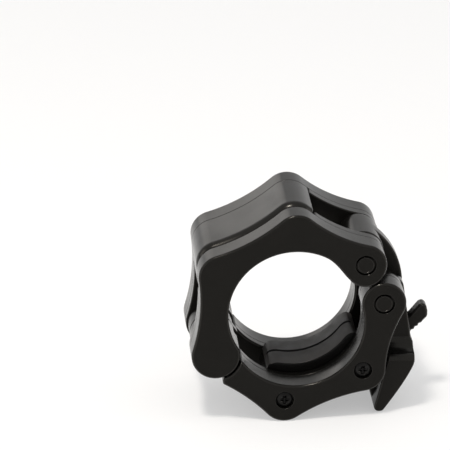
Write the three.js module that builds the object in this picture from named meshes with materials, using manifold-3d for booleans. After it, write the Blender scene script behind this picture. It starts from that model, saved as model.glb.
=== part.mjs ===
// Lever collar for a 50 mm weight bar sleeve: two hinged jaws, closed by an over-centre lever and a curved link.
// Millimetres and degrees, +Z up. The bore axis runs along Y, and the face with the screw heads looks towards -Y.
import * as THREE from "three";
import { mergeVertices } from "three/addons/utils/BufferGeometryUtils.js";
import Module from "manifold-3d";

const wasm = await Module();
wasm.setup();

// The bore sets every size in the jaws' plane, and the frame's width and inner space set the sizes along the bore.
const boreRadius = 25.5;
const frameWidth = 46;
const innerWidth = 19.6;
const edgeRound = 0.8;

// Jaws: seven lobes stand on one pitch circle round the bore.
const lobePitch = boreRadius * 1.3294;
const lobeRadius = boreRadius * 0.3451;
const hingeLobeRadius = boreRadius * 0.3647;
const linkBossRadius = boreRadius * 0.3176;
const leverBossRadius = boreRadius * 0.3333;
const valleySag = boreRadius * 0.0667;
const boreSpread = boreRadius * 0.0863;

// Places of the lobes, in degrees round the bore from +X towards +Z.
const linkBossAngle = 39.4;
const apexAngle = 90;
const cornerAngle = 147;
const hingeAngle = 205;
const footAngle = 262.7;
const tabAngle = 319.3;
const leverBossAngle = 369.1;

// Upper jaw: a band closes it between the plates, with a groove behind the front plate.
const bandStartAngle = 79;
const bandEndAngle = 165;
const coverThickness = 9.4;
const grooveWidth = 2.6;
const grooveDepth = 3.4;
const bandRound = 1.6;

// Running and seating clearances.
const seatGap = 0.3;
const sideGap = 0.35;
const hingeGap = 0.5;

// Rubber pads: flatter than the sleeve, so that their crowns press on it.
const padSeatRadius = boreRadius * 1.0431;
const padThickness = boreRadius * 0.1333;
const padCrownRadius = boreRadius * 1.4118;
const padGrooveWidth = 0.9;
const padGrooveDepth = 1.1;
const lowerPadStart = 248;
const lowerPadEnd = 335;
const upperPadStart = 68;
const upperPadEnd = 155;
const bandFootRadius = padSeatRadius + seatGap;

// Carrier between the lower plates, held by the two screws.
const carrierRadius = padSeatRadius + boreRadius * 0.1569;
const carrierStart = 249.5;
const carrierEnd = 331;
const carrierBoss = boreRadius * 0.1961;

// Hinge at the back of the jaws.
const knuckleRadius = boreRadius * 0.3333;
const tongueThickness = 3.4;
const tongueStart = 229;

// Pins of the two bosses, the hinge and the lever.
const pinRadius = 2.6;
const pinHeadRadius = 3.3;
const pinHeadHeight = 1.8;
const pinRecessRadius = 4;
const pinRecessDepth = 2.2;
const pinNoseRadius = 1.4;
const pinNoseLength = 1.1;
const capHeight = 1.5;
const blindWall = 4;
const linkPinRadius = 2;
const crossPinDrop = 0.1;

// Screws and their nuts.
const screwRadius = 1.7;
const screwHeadRadius = 3.2;
const screwHeadHeight = 1.9;
const screwDomeHeight = 0.6;
const screwDomeRadius = 1.6;
const screwDomeDrop = 0.1;
const screwDrop = 0.5;
const screwRecessRadius = 3.7;
const crossWidth = 0.9;
const crossLength = 3.6;
const crossDepth = 1.1;
const nutRadius = 3.4;
const nutSides = 6;
const nutHeight = 2.6;
const screwPastNut = 0.4;

// Lever: a fork round the link, and a wide ribbed paddle.
const crank = boreRadius * 0.4118;
const overCentre = 9;
const leverLean = 91.5;
const linkThickness = innerWidth * 0.301;
const forkWidth = innerWidth - 2 * sideGap;
const slotWidth = linkThickness + 2 * sideGap;
const rootRadius = boreRadius * 0.298;
const paddleInset = 5;
const paddleWidth = frameWidth - 2 * paddleInset;
const slotEnd = boreRadius * 1.098;
const flareStart = boreRadius * 0.7137;
const flareLength = boreRadius * 0.1647;
const tipRadius = boreRadius * 0.0824;
const tipReach = boreRadius * 1.8667;
const tipRiseShare = 0.3;
const tipRollAngle = 60;
const paddleSeat = 0.5;
const paddleSlope = 12;
const paddleRise = boreRadius * 0.3922;
const paddleCornerRadius = boreRadius * 0.1765;
const lipHeight = 3.2;
const lipLength = 1.8;
const ribCount = 5;
const ribPitchShare = 0.1755;
const ribStartShare = 0.036;
const ribDepth = 0.7;
const ribRim = 1.6;
const ribWidthShare = 0.86;

// Curved link between the upper boss and the lever.
const hubRadius = boreRadius * 0.3255;
const linkEyeRadius = boreRadius * 0.1647;
const linkBowRadius = boreRadius * 1.098;
const linkSweepRadius = boreRadius * 0.1725;
const linkSweepAngle = 62;
const hubSlack = 1.4;

// Release tab with its ratchet teeth, its sleeve and its torsion spring.
const sleeveRadius = 2.8;
const sleeveBore = 2;
const tabThickness = innerWidth * 0.2857;
const tabRingRadius = boreRadius * 0.1804;
const tabReach = boreRadius * 1.2039;
const toothCount = 6;
const toothDepth = 0.75;
const toothLandShare = 0.4;
const toothFallShare = 0.7;
const springWire = 0.7;
const springTurns = 3;
const springEase = 0.9;
const springLeg = 8;
const springLeadAngle = 300;
const springHook = 1.2;
const springPocketWall = 1.15;
const springSteps = 8;
const springSides = 5;

// How finely round shapes are drawn, how far a cut runs past its piece, and how near two points are one.
const arcStep = 9;
const roundSides = 32;
const pinSides = 24;
const boreSides = 128;
const hingeSides = 64;
const overrun = 1;
const weldDistance = 0.00003;

const quarterTurn = 90;
const halfTurn = 180;
const fullTurn = 360;

// Finishes: black moulded nylon, dark rubber, bright and blackened steel.
const nylon = new THREE.MeshStandardMaterial({ color: 0x1b1b1c, roughness: 0.38, metalness: 0 });
const rubber = new THREE.MeshStandardMaterial({ color: 0x2a2a2b, roughness: 0.75, metalness: 0 });
const brightSteel = new THREE.MeshStandardMaterial({ color: 0xb4b4b2, roughness: 0.3, metalness: 1 });
const blackSteel = new THREE.MeshStandardMaterial({ color: 0x202021, roughness: 0.35, metalness: 1 });

const halfWidth = frameWidth / 2;
const plateInner = innerWidth / 2;
const tabRoom = tabThickness / 2 + sideGap;
const springPocketDepth = plateInner - seatGap - springPocketWall - tabRoom;
const springPitch = (springPocketDepth - springWire - springEase) / springTurns;
const radians = THREE.MathUtils.degToRad;

// A point at a distance and an angle from another point of the jaws' plane.
function polar(distance, angle, from = new THREE.Vector2()) {
  const turn = radians(angle);
  return new THREE.Vector2(from.x + distance * Math.cos(turn), from.y + distance * Math.sin(turn));
}

const linkBoss = polar(lobePitch, linkBossAngle);
const leverBoss = polar(lobePitch, leverBossAngle);
const hinge = polar(lobePitch, hingeAngle);
const footScrew = polar(lobePitch, footAngle);
const tabScrew = polar(lobePitch, tabAngle);
const upperBore = new THREE.Vector2(0, boreSpread);
const lowerBore = new THREE.Vector2(0, -boreSpread);

// The link's eye lies past the line through both bosses, which keeps the closed jaws locked.
const crankAngle = THREE.MathUtils.radToDeg(leverBoss.clone().sub(linkBoss).angle()) - overCentre;
const eye = polar(crank, crankAngle, leverBoss);

// Points of an arc round a centre, from one angle to another, both in degrees.
function arc(centre, radius, from, to, step = arcStep) {
  const count = Math.max(2, Math.ceil(Math.abs(to - from) / step));
  return Array.from({ length: count + 1 }, (_, i) => polar(radius, from + ((to - from) * i) / count, centre));
}

function angleOf(from, to) {
  return THREE.MathUtils.radToDeg(Math.atan2(to.y - from.y, to.x - from.x));
}

// The angle, a whole number of turns away, that comes next after another one.
function after(angle, earlier) {
  return angle + fullTurn * Math.ceil((earlier - angle) / fullTurn);
}

// Centre and radius of the hollow arc that touches two neighbouring lobes from outside.
function valley(a, b) {
  const half = a.centre.distanceTo(b.centre) / 2;
  const mean = (a.radius + b.radius) / 2;
  const radius = (half * half + valleySag * valleySag) / (2 * valleySag) - mean;
  const reachA = a.radius + radius;
  const reachB = b.radius + radius;
  const along = (reachA * reachA - reachB * reachB + 4 * half * half) / (4 * half);
  const across = Math.sqrt(reachA * reachA - along * along);
  const line = b.centre.clone().sub(a.centre).normalize();
  const side = new THREE.Vector2(line.y, -line.x);
  const centre = a.centre.clone().addScaledVector(line, along).addScaledVector(side, across);
  return { centre, radius };
}

// Outline of a chain of lobes with hollows between them, closed through the bore's centre.
function lobedShape(lobes) {
  const points = [new THREE.Vector2()];
  const hollows = lobes.slice(1).map((lobe, i) => valley(lobes[i], lobe));
  lobes.forEach((lobe, i) => {
    const inward = angleOf(lobe.centre, new THREE.Vector2());
    const from = i === 0 ? inward : angleOf(lobe.centre, hollows[i - 1].centre);
    const to = i === lobes.length - 1 ? inward : angleOf(lobe.centre, hollows[i].centre);
    points.push(...arc(lobe.centre, lobe.radius, from, after(to, from)));
    if (i < hollows.length) {
      const hollow = hollows[i];
      const start = angleOf(hollow.centre, lobe.centre);
      const end = angleOf(hollow.centre, lobes[i + 1].centre);
      const back = start - (after(start, end) - end);
      points.push(...arc(hollow.centre, hollow.radius, start, back, arcStep / 2).slice(1, -1));
    }
  });
  return new THREE.Shape(points);
}

// Manifold solid of a closed three.js geometry, and back again.
function solid(geometry) {
  const bare = new THREE.BufferGeometry();
  const source = geometry.index ? geometry.toNonIndexed() : geometry;
  bare.setAttribute("position", source.getAttribute("position"));
  const merged = mergeVertices(bare, weldDistance);
  return new wasm.Manifold(
    new wasm.Mesh({
      numProp: 3,
      vertProperties: merged.attributes.position.array,
      triVerts: new Uint32Array(merged.index.array),
    }),
  );
}

function geometryOf(manifold) {
  const mesh = manifold.getMesh();
  const geometry = new THREE.BufferGeometry();
  geometry.setAttribute("position", new THREE.BufferAttribute(new Float32Array(mesh.vertProperties), 3));
  geometry.setIndex(new THREE.BufferAttribute(new Uint32Array(mesh.triVerts), 1));
  const flat = geometry.toNonIndexed();
  flat.computeVertexNormals();
  return flat;
}

function join(...pieces) {
  return pieces.reduce((whole, piece) => whole.add(piece));
}

function cut(whole, ...pieces) {
  return pieces.reduce((rest, piece) => rest.subtract(piece), whole);
}

// A shape of the jaws' plane, made solid between two depths, with its rims rounded where asked.
function slab(shape, front, back, round = 0) {
  const geometry = new THREE.ExtrudeGeometry(shape, {
    depth: back - front - 2 * round,
    bevelEnabled: round > 0,
    bevelSize: round,
    bevelThickness: round,
    bevelOffset: -round,
    bevelSegments: 2,
    curveSegments: roundSides,
  });
  geometry.rotateX(Math.PI / 2);
  geometry.translate(0, back - round, 0);
  return solid(geometry);
}

// A body turned about an axis along Y, from pairs of radius and depth.
function turned(profile, centre, sides = pinSides) {
  const geometry = new THREE.LatheGeometry(
    profile.map(([radius, depth]) => new THREE.Vector2(radius, depth)),
    sides,
  );
  geometry.translate(centre.x, 0, centre.y);
  return solid(geometry);
}

function drum(radius, front, back, centre, sides = pinSides) {
  return turned([[0, front], [radius, front], [radius, back], [0, back]], centre, sides);
}

// A wedge of the jaws' plane, wide enough to clip any lobe.
function wedge(from, to, front, back) {
  const reach = 2 * (lobePitch + lobeRadius);
  return slab(new THREE.Shape([new THREE.Vector2(), ...arc(new THREE.Vector2(), reach, from, to)]), front, back);
}

function lobe(centre, radius) {
  return { centre, radius };
}

const bossShapes = {
  upper: (inset) => lobedShape([
    lobe(linkBoss, linkBossRadius - inset),
    lobe(polar(lobePitch, apexAngle), lobeRadius - inset),
    lobe(polar(lobePitch, cornerAngle), lobeRadius - inset),
    lobe(hinge, hingeLobeRadius - inset),
  ]),
  lower: (inset) => lobedShape([
    lobe(hinge, hingeLobeRadius - inset),
    lobe(footScrew, lobeRadius - inset),
    lobe(tabScrew, lobeRadius - inset),
    lobe(leverBoss, leverBossRadius - inset),
  ]),
};

// Bore of one jaw, cut right through.
function bore(centre) {
  return drum(boreRadius, -halfWidth - overrun, halfWidth + overrun, centre, boreSides);
}

// Room for a pin: its shaft, and a recess in each face that shows a head.
function pinRoom(centre, front, back) {
  const from = front ? -halfWidth - overrun : -halfWidth + blindWall;
  const pieces = [drum(pinRadius + seatGap, from, halfWidth + overrun, centre)];
  if (front) pieces.push(drum(pinRecessRadius, -halfWidth - overrun, -halfWidth + pinRecessDepth, centre));
  if (back) pieces.push(drum(pinRecessRadius, halfWidth - pinRecessDepth, halfWidth + overrun, centre));
  return join(...pieces);
}

// Pin with a head at one face and a nose for the cap that closes the other.
function pin(centre, blind) {
  const face = halfWidth - pinRecessDepth + seatGap;
  const tip = blind ? -halfWidth + blindWall + seatGap : -face - pinNoseLength;
  const top = face + pinHeadHeight;
  const profile = [[0, top], [pinHeadRadius, top], [pinHeadRadius, face], [pinRadius, face]];
  if (blind) profile.push([pinRadius, tip], [0, tip]);
  else profile.push([pinRadius, -face + seatGap], [pinNoseRadius, -face + seatGap], [pinNoseRadius, tip], [0, tip]);
  return turned(profile.reverse(), centre);
}

// Cap pressed over a pin's nose, flush in the front face.
function pinCap(centre) {
  const seat = -halfWidth + pinRecessDepth - seatGap;
  const front = seat - capHeight - seatGap;
  const well = seat - pinNoseLength - seatGap;
  const profile = [[0, front], [pinHeadRadius, front], [pinHeadRadius, seat], [pinNoseRadius + seatGap, seat]];
  return turned([...profile, [pinNoseRadius + seatGap, well], [0, well]], centre);
}

function screwRoom(centre) {
  const seat = -halfWidth + screwDrop + screwHeadHeight + seatGap;
  return join(
    drum(screwRadius + seatGap, -halfWidth - overrun, halfWidth + overrun, centre),
    drum(screwRecessRadius, -halfWidth - overrun, seat, centre),
    drum(nutRadius + seatGap, halfWidth - nutHeight - screwPastNut - seatGap, halfWidth + overrun, centre, nutSides),
  );
}

// Domed screw with a cross recess, whose shaft ends in the nut.
function screw(centre) {
  const top = -halfWidth + screwDrop;
  const under = top + screwHeadHeight;
  const end = halfWidth - screwPastNut / 2;
  const body = turned(
    [
      [0, top], [screwDomeRadius, top + screwDomeDrop], [screwHeadRadius, top + screwDomeHeight],
      [screwHeadRadius, under], [screwRadius, under], [screwRadius, end], [0, end],
    ],
    centre,
  );
  const arms = [[crossLength, crossWidth], [crossWidth, crossLength]].map(([x, z]) => {
    const box = new THREE.BoxGeometry(x, 2 * crossDepth, z);
    box.translate(centre.x, top, centre.y);
    return solid(box);
  });
  return cut(body, ...arms);
}

function nut(centre) {
  const back = halfWidth - screwPastNut;
  return cut(
    drum(nutRadius, back - nutHeight, back, centre, nutSides),
    drum(screwRadius + seatGap / 2, back - nutHeight - overrun, back + overrun, centre),
  );
}

// Upper jaw: two plates joined by a lobed band, open at the link's window and at the hinge knuckle.
function upperFrame() {
  const grooveFront = -halfWidth + coverThickness;
  const bandFront = grooveFront + grooveWidth;
  const whole = bossShapes.upper(0);
  const bandWedge = wedge(bandStartAngle, bandEndAngle, -halfWidth, halfWidth);
  const front = slab(whole, -halfWidth, grooveFront, edgeRound);
  const thick = slab(whole, grooveFront - edgeRound - overrun, -plateInner);
  const grooveWedge = wedge(bandStartAngle, bandEndAngle, grooveFront, halfWidth);
  const windowSide = cut(thick, grooveWedge);
  const back = slab(whole, plateInner, halfWidth, edgeRound);
  const floor = slab(bossShapes.upper(grooveDepth), -halfWidth + overrun, halfWidth - overrun);
  const band = slab(whole, bandFront, halfWidth - edgeRound - overrun, bandRound);
  const middle = join(floor, band).intersect(bandWedge);
  const body = join(front, windowSide, back, middle);
  const padRoom = cut(
    drum(bandFootRadius, -plateInner, plateInner, upperBore, boreSides),
    wedge(upperPadEnd + arcStep, fullTurn + upperPadStart - arcStep, -halfWidth, halfWidth),
  );
  const knuckleRoom = drum(knuckleRadius + hingeGap, -plateInner, plateInner, hinge, roundSides);
  return cut(body, bore(upperBore), padRoom, knuckleRoom, pinRoom(linkBoss, true, true), pinRoom(hinge, false, true));
}

// One half of the lower jaw: a lobed plate, with a tongue that ends in its half of the hinge knuckle.
function lowerFrame(side) {
  const outer = side * halfWidth;
  const inner = side * plateInner;
  const between = (a, b) => [Math.min(a, b), Math.max(a, b)];
  const plate = slab(bossShapes.lower(0), ...between(outer, inner), edgeRound);
  const clear = drum(hingeLobeRadius + hingeGap, -halfWidth - overrun, halfWidth + overrun, hinge, hingeSides);
  const tongueFace = side * (plateInner - sideGap);
  const tongueBack = tongueFace - side * tongueThickness;
  const tongue = slab(bossShapes.lower(edgeRound), ...between(inner + side * overrun, tongueBack))
    .intersect(wedge(hingeAngle, tongueStart, -halfWidth, halfWidth));
  const knuckle = drum(knuckleRadius, ...between(tongueFace, (side * seatGap) / 2), hinge, roundSides);
  const upperPlates = drum(hingeLobeRadius + hingeGap, ...between(outer + side * overrun, tongueFace), hinge, hingeSides);
  const body = join(cut(plate, clear), cut(tongue, upperPlates), knuckle);
  return cut(
    body,
    bore(lowerBore),
    pinRoom(leverBoss, true, true),
    drum(pinRadius + seatGap, -halfWidth, halfWidth, hinge),
    screwRoom(footScrew),
    screwRoom(tabScrew),
  );
}

// Rubber pad with a flat crown and a groove along its middle.
function pad(centre, from, to) {
  const middle = (from + to) / 2;
  const crown = polar(padCrownRadius + padThickness - padSeatRadius, middle + halfTurn);
  const depth = plateInner - seatGap;
  const ring = drum(padSeatRadius - seatGap, -depth, depth, centre, boreSides);
  const block = ring.intersect(wedge(from, to, -depth, depth));
  const groove = drum(padCrownRadius + padGrooveDepth, -padGrooveWidth / 2, padGrooveWidth / 2, crown, boreSides);
  return cut(block, drum(padCrownRadius, -depth - overrun, depth + overrun, crown, boreSides), groove);
}

// Carrier under the lower pad, with a slot for the tab and a pocket for its spring.
function padCarrier() {
  const depth = plateInner - seatGap;
  const disc = drum(carrierRadius, -depth, depth, lowerBore, boreSides);
  const ring = disc.intersect(wedge(carrierStart, carrierEnd, -depth, depth));
  const seat = drum(padSeatRadius, -depth - overrun, depth + overrun, lowerBore, boreSides);
  const slot = drum(2 * tabRingRadius, -tabRoom, tabRoom, tabScrew, roundSides);
  const pocket = drum(carrierBoss + overrun, tabRoom - overrun, tabRoom + springPocketDepth, tabScrew, roundSides);
  return cut(
    join(ring, drum(carrierBoss, -depth, depth, footScrew), drum(carrierBoss, -depth, depth, tabScrew)),
    seat,
    slot,
    pocket,
    drum(screwRadius + seatGap, -depth - overrun, depth + overrun, footScrew),
    drum(sleeveRadius + seatGap, -depth - overrun, depth + overrun, tabScrew),
  );
}

function pivotSleeve() {
  const depth = plateInner - seatGap;
  return cut(
    drum(sleeveRadius, -depth, depth, tabScrew),
    drum(sleeveBore, -depth - overrun, depth + overrun, tabScrew),
  );
}

// A point of the closed lever's side view: how far along it from its pivot, and how far outward.
const leverAlong = polar(1, -leverLean);
const leverOutward = polar(1, quarterTurn - leverLean);

function onLever([along, outward]) {
  return leverBoss.clone().addScaledVector(leverAlong, along).addScaledVector(leverOutward, outward);
}

// Side view of the fork and the paddle's core, as shares of the lever's reach: inner edge, then outer edge.
const forkInnerShares = [[0, -0.155], [0.19, -0.084], [0.42, -0.025], [0.88, -0.052]];
const leverBackShares = [[0.567, 0.284], [0.462, 0.28], [0.43, 0.253], [-0.063, 0.181]];
const backSwellShares = [0.71, 0.234];
const leverPoint = ([along, outward]) => onLever([along * tipReach, outward * tipReach]);
const tipCentre = onLever([tipReach - tipRadius, tipRadius * tipRiseShare]);
const paddleBack = new THREE.QuadraticBezierCurve(
  polar(tipRadius, tipRollAngle - leverLean, tipCentre),
  leverPoint(backSwellShares),
  leverPoint(leverBackShares[0]),
);

function leverShape(inner) {
  return new THREE.Shape([
    ...inner,
    ...arc(tipCentre, tipRadius, -leverLean - quarterTurn, tipRollAngle - leverLean, 2 * arcStep),
    ...paddleBack.getPoints(ribCount).slice(1),
    ...leverBackShares.slice(1).map(leverPoint),
  ]);
}

// Inner face of the paddle: it clears the lobe round the upper screw, and runs on to the tip.
function paddleInner() {
  const face = polar(lobeRadius + paddleSeat, quarterTurn - leverLean - paddleSlope, tabScrew);
  const run = polar(1, -leverLean - paddleSlope);
  const tip = polar(tipRadius, -leverLean - quarterTurn, tipCentre);
  const toTip = tip.clone().sub(face).dot(run);
  return [face.clone().addScaledVector(run, -paddleRise), face.clone().addScaledVector(run, toTip / 2)];
}

// The lever's plan, seen from outside: narrow fork, hollow flare on each side, wide paddle with round corners.
function leverPlan() {
  const half = paddleWidth / 2;
  const fork = forkWidth / 2;
  const side = [new THREE.Vector2(-2 * rootRadius, fork)];
  for (let turn = 0; turn <= quarterTurn; turn += 2 * arcStep) {
    const swing = radians(turn);
    side.push(new THREE.Vector2(flareStart + flareLength * Math.sin(swing), half - (half - fork) * Math.cos(swing)));
  }
  const corner = new THREE.Vector2(tipReach - paddleCornerRadius, half - paddleCornerRadius);
  side.push(...arc(corner, paddleCornerRadius, quarterTurn, 0, 2 * arcStep));
  const other = side.map((point) => new THREE.Vector2(point.x, -point.y)).reverse();
  return new THREE.Shape([...side, ...other]);
}

// A plan of the lever, made solid across its whole height.
function leverPrism(shape, low, high) {
  const geometry = new THREE.ExtrudeGeometry(shape, { depth: high - low, bevelEnabled: false });
  geometry.translate(0, 0, low);
  geometry.applyMatrix4(
    new THREE.Matrix4().makeBasis(
      new THREE.Vector3(leverAlong.x, 0, leverAlong.y),
      new THREE.Vector3(0, 1, 0),
      new THREE.Vector3(leverOutward.x, 0, leverOutward.y),
    ),
  );
  geometry.translate(leverBoss.x, 0, leverBoss.y);
  return solid(geometry);
}

function rectangle(left, right, half) {
  return new THREE.Shape([
    new THREE.Vector2(left, -half),
    new THREE.Vector2(right, -half),
    new THREE.Vector2(right, half),
    new THREE.Vector2(left, half),
  ]);
}

// Saw-tooth hollows across the paddle's outer face, which leave a rim at each side.
function ribHollows() {
  const half = paddleWidth / 2 - ribRim;
  return Array.from({ length: ribCount }, (_, i) => {
    const near = paddleBack.getPointAt(ribStartShare + i * ribPitchShare);
    const far = paddleBack.getPointAt(ribStartShare + (i + ribWidthShare) * ribPitchShare);
    const out = new THREE.Vector2(near.y - far.y, far.x - near.x).normalize().negate();
    const floor = near.clone().addScaledVector(out, -ribDepth);
    return slab(
      new THREE.Shape([
        floor,
        near.clone().addScaledVector(out, overrun),
        far.clone().addScaledVector(out, overrun),
        far,
      ]),
      -half,
      half,
    );
  });
}

function lever() {
  const reach = 2 * paddleWidth;
  const root = forkInnerShares.map(leverPoint);
  const core = join(
    slab(leverShape(root), -forkWidth / 2, forkWidth / 2),
    drum(rootRadius, -forkWidth / 2, forkWidth / 2, leverBoss, hingeSides),
  );
  const paddle = slab(leverShape(paddleInner()), -paddleWidth / 2, paddleWidth / 2);
  const body = join(core, paddle).intersect(leverPrism(leverPlan(), -reach, reach));
  const lipBase = leverBackShares[0][1] * tipReach - lipHeight;
  return cut(
    body,
    leverPrism(rectangle(-reach, slotEnd, slotWidth / 2), -reach, lipBase),
    leverPrism(rectangle(-reach, slotEnd - lipLength, slotWidth / 2), lipBase - overrun, reach),
    drum(pinRadius + seatGap, -reach, reach, leverBoss),
    drum(linkPinRadius + seatGap, -reach, reach, eye),
    ...ribHollows(),
  );
}

// Curved link: a wide hub in the upper jaw, and a bowed arm round the lever's pin to the lever's cross pin.
function link() {
  const hubHalf = plateInner - sideGap;
  const armHalf = linkThickness / 2;
  const base = linkBoss.distanceTo(eye);
  const toHub = linkBowRadius - hubRadius;
  const toEye = linkBowRadius - linkEyeRadius;
  const along = (toEye * toEye - toHub * toHub + base * base) / (2 * base);
  const line = linkBoss.clone().sub(eye).normalize();
  const bow = eye
    .clone()
    .addScaledVector(line, along)
    .addScaledVector(new THREE.Vector2(-line.y, line.x), Math.sqrt(toEye * toEye - along * along));
  const from = angleOf(bow, eye);
  const outline = arc(bow, linkBowRadius, from, after(angleOf(bow, linkBoss), from), arcStep / 2);
  const arm = slab(new THREE.Shape([eye, ...outline, linkBoss]), -armHalf, armHalf);
  const toPin = angleOf(eye, leverBoss);
  const sweep = slab(
    new THREE.Shape([
      ...arc(eye, crank + linkSweepRadius, toPin, toPin + linkSweepAngle),
      ...arc(eye, crank - linkSweepRadius, toPin + linkSweepAngle, toPin),
    ]),
    -armHalf - overrun,
    armHalf + overrun,
  );
  return cut(
    join(
      arm,
      drum(linkEyeRadius, -armHalf, armHalf, eye),
      drum(hubRadius, -hubHalf, hubHalf, linkBoss, hingeSides),
    ),
    sweep,
    drum(linkSweepRadius, -armHalf - overrun, armHalf + overrun, leverBoss, roundSides),
    drum(pinRadius + hubSlack, -halfWidth, halfWidth, linkBoss),
    drum(linkPinRadius + seatGap, -halfWidth, halfWidth, eye),
  );
}

// Steel cross pin that joins the link to the lever's fork.
function crossPin() {
  const half = forkWidth / 2 - crossPinDrop;
  return drum(linkPinRadius, -half, half, eye);
}

// Outline of the release tab as shares of its reach from its screw: under side, teeth, tip, then upper side.
const tabUnderShares = [[0.145, -0.026], [0.287, 0.049], [0.476, 0.134]];
const tabToothShares = [[0.518, 0.078], [0.796, 0.346]];
const tabOverShares = [
  [0.872, 0.42], [0.888, 0.47], [0.85, 0.575], [0.806, 0.61], [0.765, 0.59], [0.659, 0.46], [0.509, 0.352],
  [0.326, 0.307], [0.065, 0.14],
];

function releaseTab() {
  const place = ([x, z]) => new THREE.Vector2(tabScrew.x + x * tabReach, tabScrew.y + z * tabReach);
  const [first, last] = tabToothShares.map(place);
  const inward = new THREE.Vector2(first.y - last.y, last.x - first.x).normalize().multiplyScalar(toothDepth);
  const teeth = [];
  for (let i = 0; i < toothCount; i += 1) {
    teeth.push(first.clone().lerp(last, i / toothCount));
    teeth.push(first.clone().lerp(last, (i + toothLandShare) / toothCount));
    teeth.push(first.clone().lerp(last, (i + toothFallShare) / toothCount).add(inward));
  }
  const points = [tabScrew, ...tabUnderShares.map(place), ...teeth, last, ...tabOverShares.map(place)];
  const half = tabThickness / 2;
  return cut(
    join(
      slab(new THREE.Shape(points), -half, half, edgeRound / 2),
      drum(tabRingRadius, -half, half, tabScrew, roundSides),
    ),
    drum(sleeveRadius + seatGap, -half - overrun, half + overrun, tabScrew),
  );
}

// Torsion spring round the sleeve: one leg lies beside the tab, the other goes into the carrier.
class SpringPath extends THREE.Curve {
  constructor() {
    super();
    this.radius = sleeveRadius + seatGap + springWire / 2;
    this.start = tabRoom + springWire / 2;
    this.turned = 2 * Math.PI * this.radius * springTurns;
    this.length = springLeg + this.turned + springHook;
  }

  getPoint(t, target = new THREE.Vector3()) {
    const run = t * this.length;
    const lead = radians(springLeadAngle);
    const wound = THREE.MathUtils.clamp(run - springLeg, 0, this.turned) / this.radius;
    const turn = lead + wound;
    const back = Math.max(springLeg - run, 0);
    const hook = Math.max(run - springLeg - this.turned, 0);
    return target.set(
      tabScrew.x + this.radius * Math.cos(turn) + back * Math.sin(lead),
      this.start + (springPitch * wound) / (2 * Math.PI) + hook,
      tabScrew.y + this.radius * Math.sin(turn) - back * Math.cos(lead),
    );
  }
}

function tabSpring() {
  const path = new SpringPath();
  const side = fullTurn / springSides;
  const section = new THREE.Shape(arc(new THREE.Vector2(), springWire / 2, 0, fullTurn - side, side));
  const steps = Math.round((springSteps * path.length) / (2 * Math.PI * path.radius));
  return solid(new THREE.ExtrudeGeometry(section, { steps, extrudePath: path, curveSegments: 1 }));
}

// Least gap between two turns of the spring, measured on points of its path.
function springGap() {
  const path = new SpringPath();
  const count = Math.round((4 * springSteps * path.length) / (2 * Math.PI * path.radius));
  const points = Array.from({ length: count + 1 }, (_, i) => path.getPoint(i / count));
  const apart = Math.round((Math.PI * path.radius * count) / path.length);
  let least = Infinity;
  points.forEach((point, i) => {
    points.slice(i + apart).forEach((other) => {
      least = Math.min(least, point.distanceTo(other));
    });
  });
  return least - springWire;
}

// Scene graph: the lower jaw stays, and each moving body hangs on a group at its own axis.
const collar = new THREE.Group();

function axisGroup(centre, parent) {
  const group = new THREE.Group();
  const origin = parent.userData.axis ?? new THREE.Vector2();
  group.userData.axis = centre;
  group.position.set(centre.x - origin.x, 0, centre.y - origin.y);
  parent.add(group);
  return group;
}

function place(group, name, manifold, material) {
  const axis = group.userData.axis ?? new THREE.Vector2();
  const mesh = new THREE.Mesh(geometryOf(manifold), material);
  mesh.geometry.translate(-axis.x, 0, -axis.y);
  mesh.name = name;
  group.add(mesh);
}

const upperJaw = axisGroup(hinge, collar);
const leverBody = axisGroup(leverBoss, collar);
const linkBody = axisGroup(eye, leverBody);
const tabBody = axisGroup(tabScrew, collar);

place(collar, "lower_frame_front", lowerFrame(-1), nylon);
place(collar, "lower_frame_back", lowerFrame(1), nylon);
place(collar, "lower_pad_carrier", padCarrier(), nylon);
place(collar, "lower_pad", pad(lowerBore, lowerPadStart, lowerPadEnd), rubber);
place(collar, "foot_screw", screw(footScrew), blackSteel);
place(collar, "foot_nut", nut(footScrew), blackSteel);
place(collar, "tab_screw", screw(tabScrew), blackSteel);
place(collar, "tab_nut", nut(tabScrew), blackSteel);
place(collar, "tab_sleeve", pivotSleeve(), brightSteel);
place(collar, "lever_pin", pin(leverBoss, false), nylon);
place(collar, "lever_pin_cap", pinCap(leverBoss), nylon);

place(upperJaw, "upper_frame", upperFrame(), nylon);
place(upperJaw, "upper_pad", pad(upperBore, upperPadStart, upperPadEnd), rubber);
place(upperJaw, "hinge_pin", pin(hinge, true), nylon);
place(upperJaw, "link_pin", pin(linkBoss, false), nylon);
place(upperJaw, "link_pin_cap", pinCap(linkBoss), nylon);

place(leverBody, "lever", lever(), nylon);
place(leverBody, "lever_cross_pin", crossPin(), brightSteel);
place(linkBody, "link", link(), nylon);

place(tabBody, "release_tab", releaseTab(), nylon);
place(tabBody, "tab_spring", tabSpring(), brightSteel);

// The origin is where the standing collar meets the ground, under the middle of its box.
const extent = new THREE.Box3().setFromObject(collar);
const middle = extent.getCenter(new THREE.Vector3());
collar.position.set(-middle.x, -middle.y, -extent.min.z);

console.log("least gap in the spring, mm: " + springGap().toFixed(2));

export default collar;
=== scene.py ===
"""Lever collar for a 50 mm weight bar sleeve: fine pieces and finishes over the packed frame.

Metres, +Z up. The bore axis runs along Y, and the face with the screw heads looks towards -Y.
"""
import math

import bmesh
import bpy
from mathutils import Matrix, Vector, geometry


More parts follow.
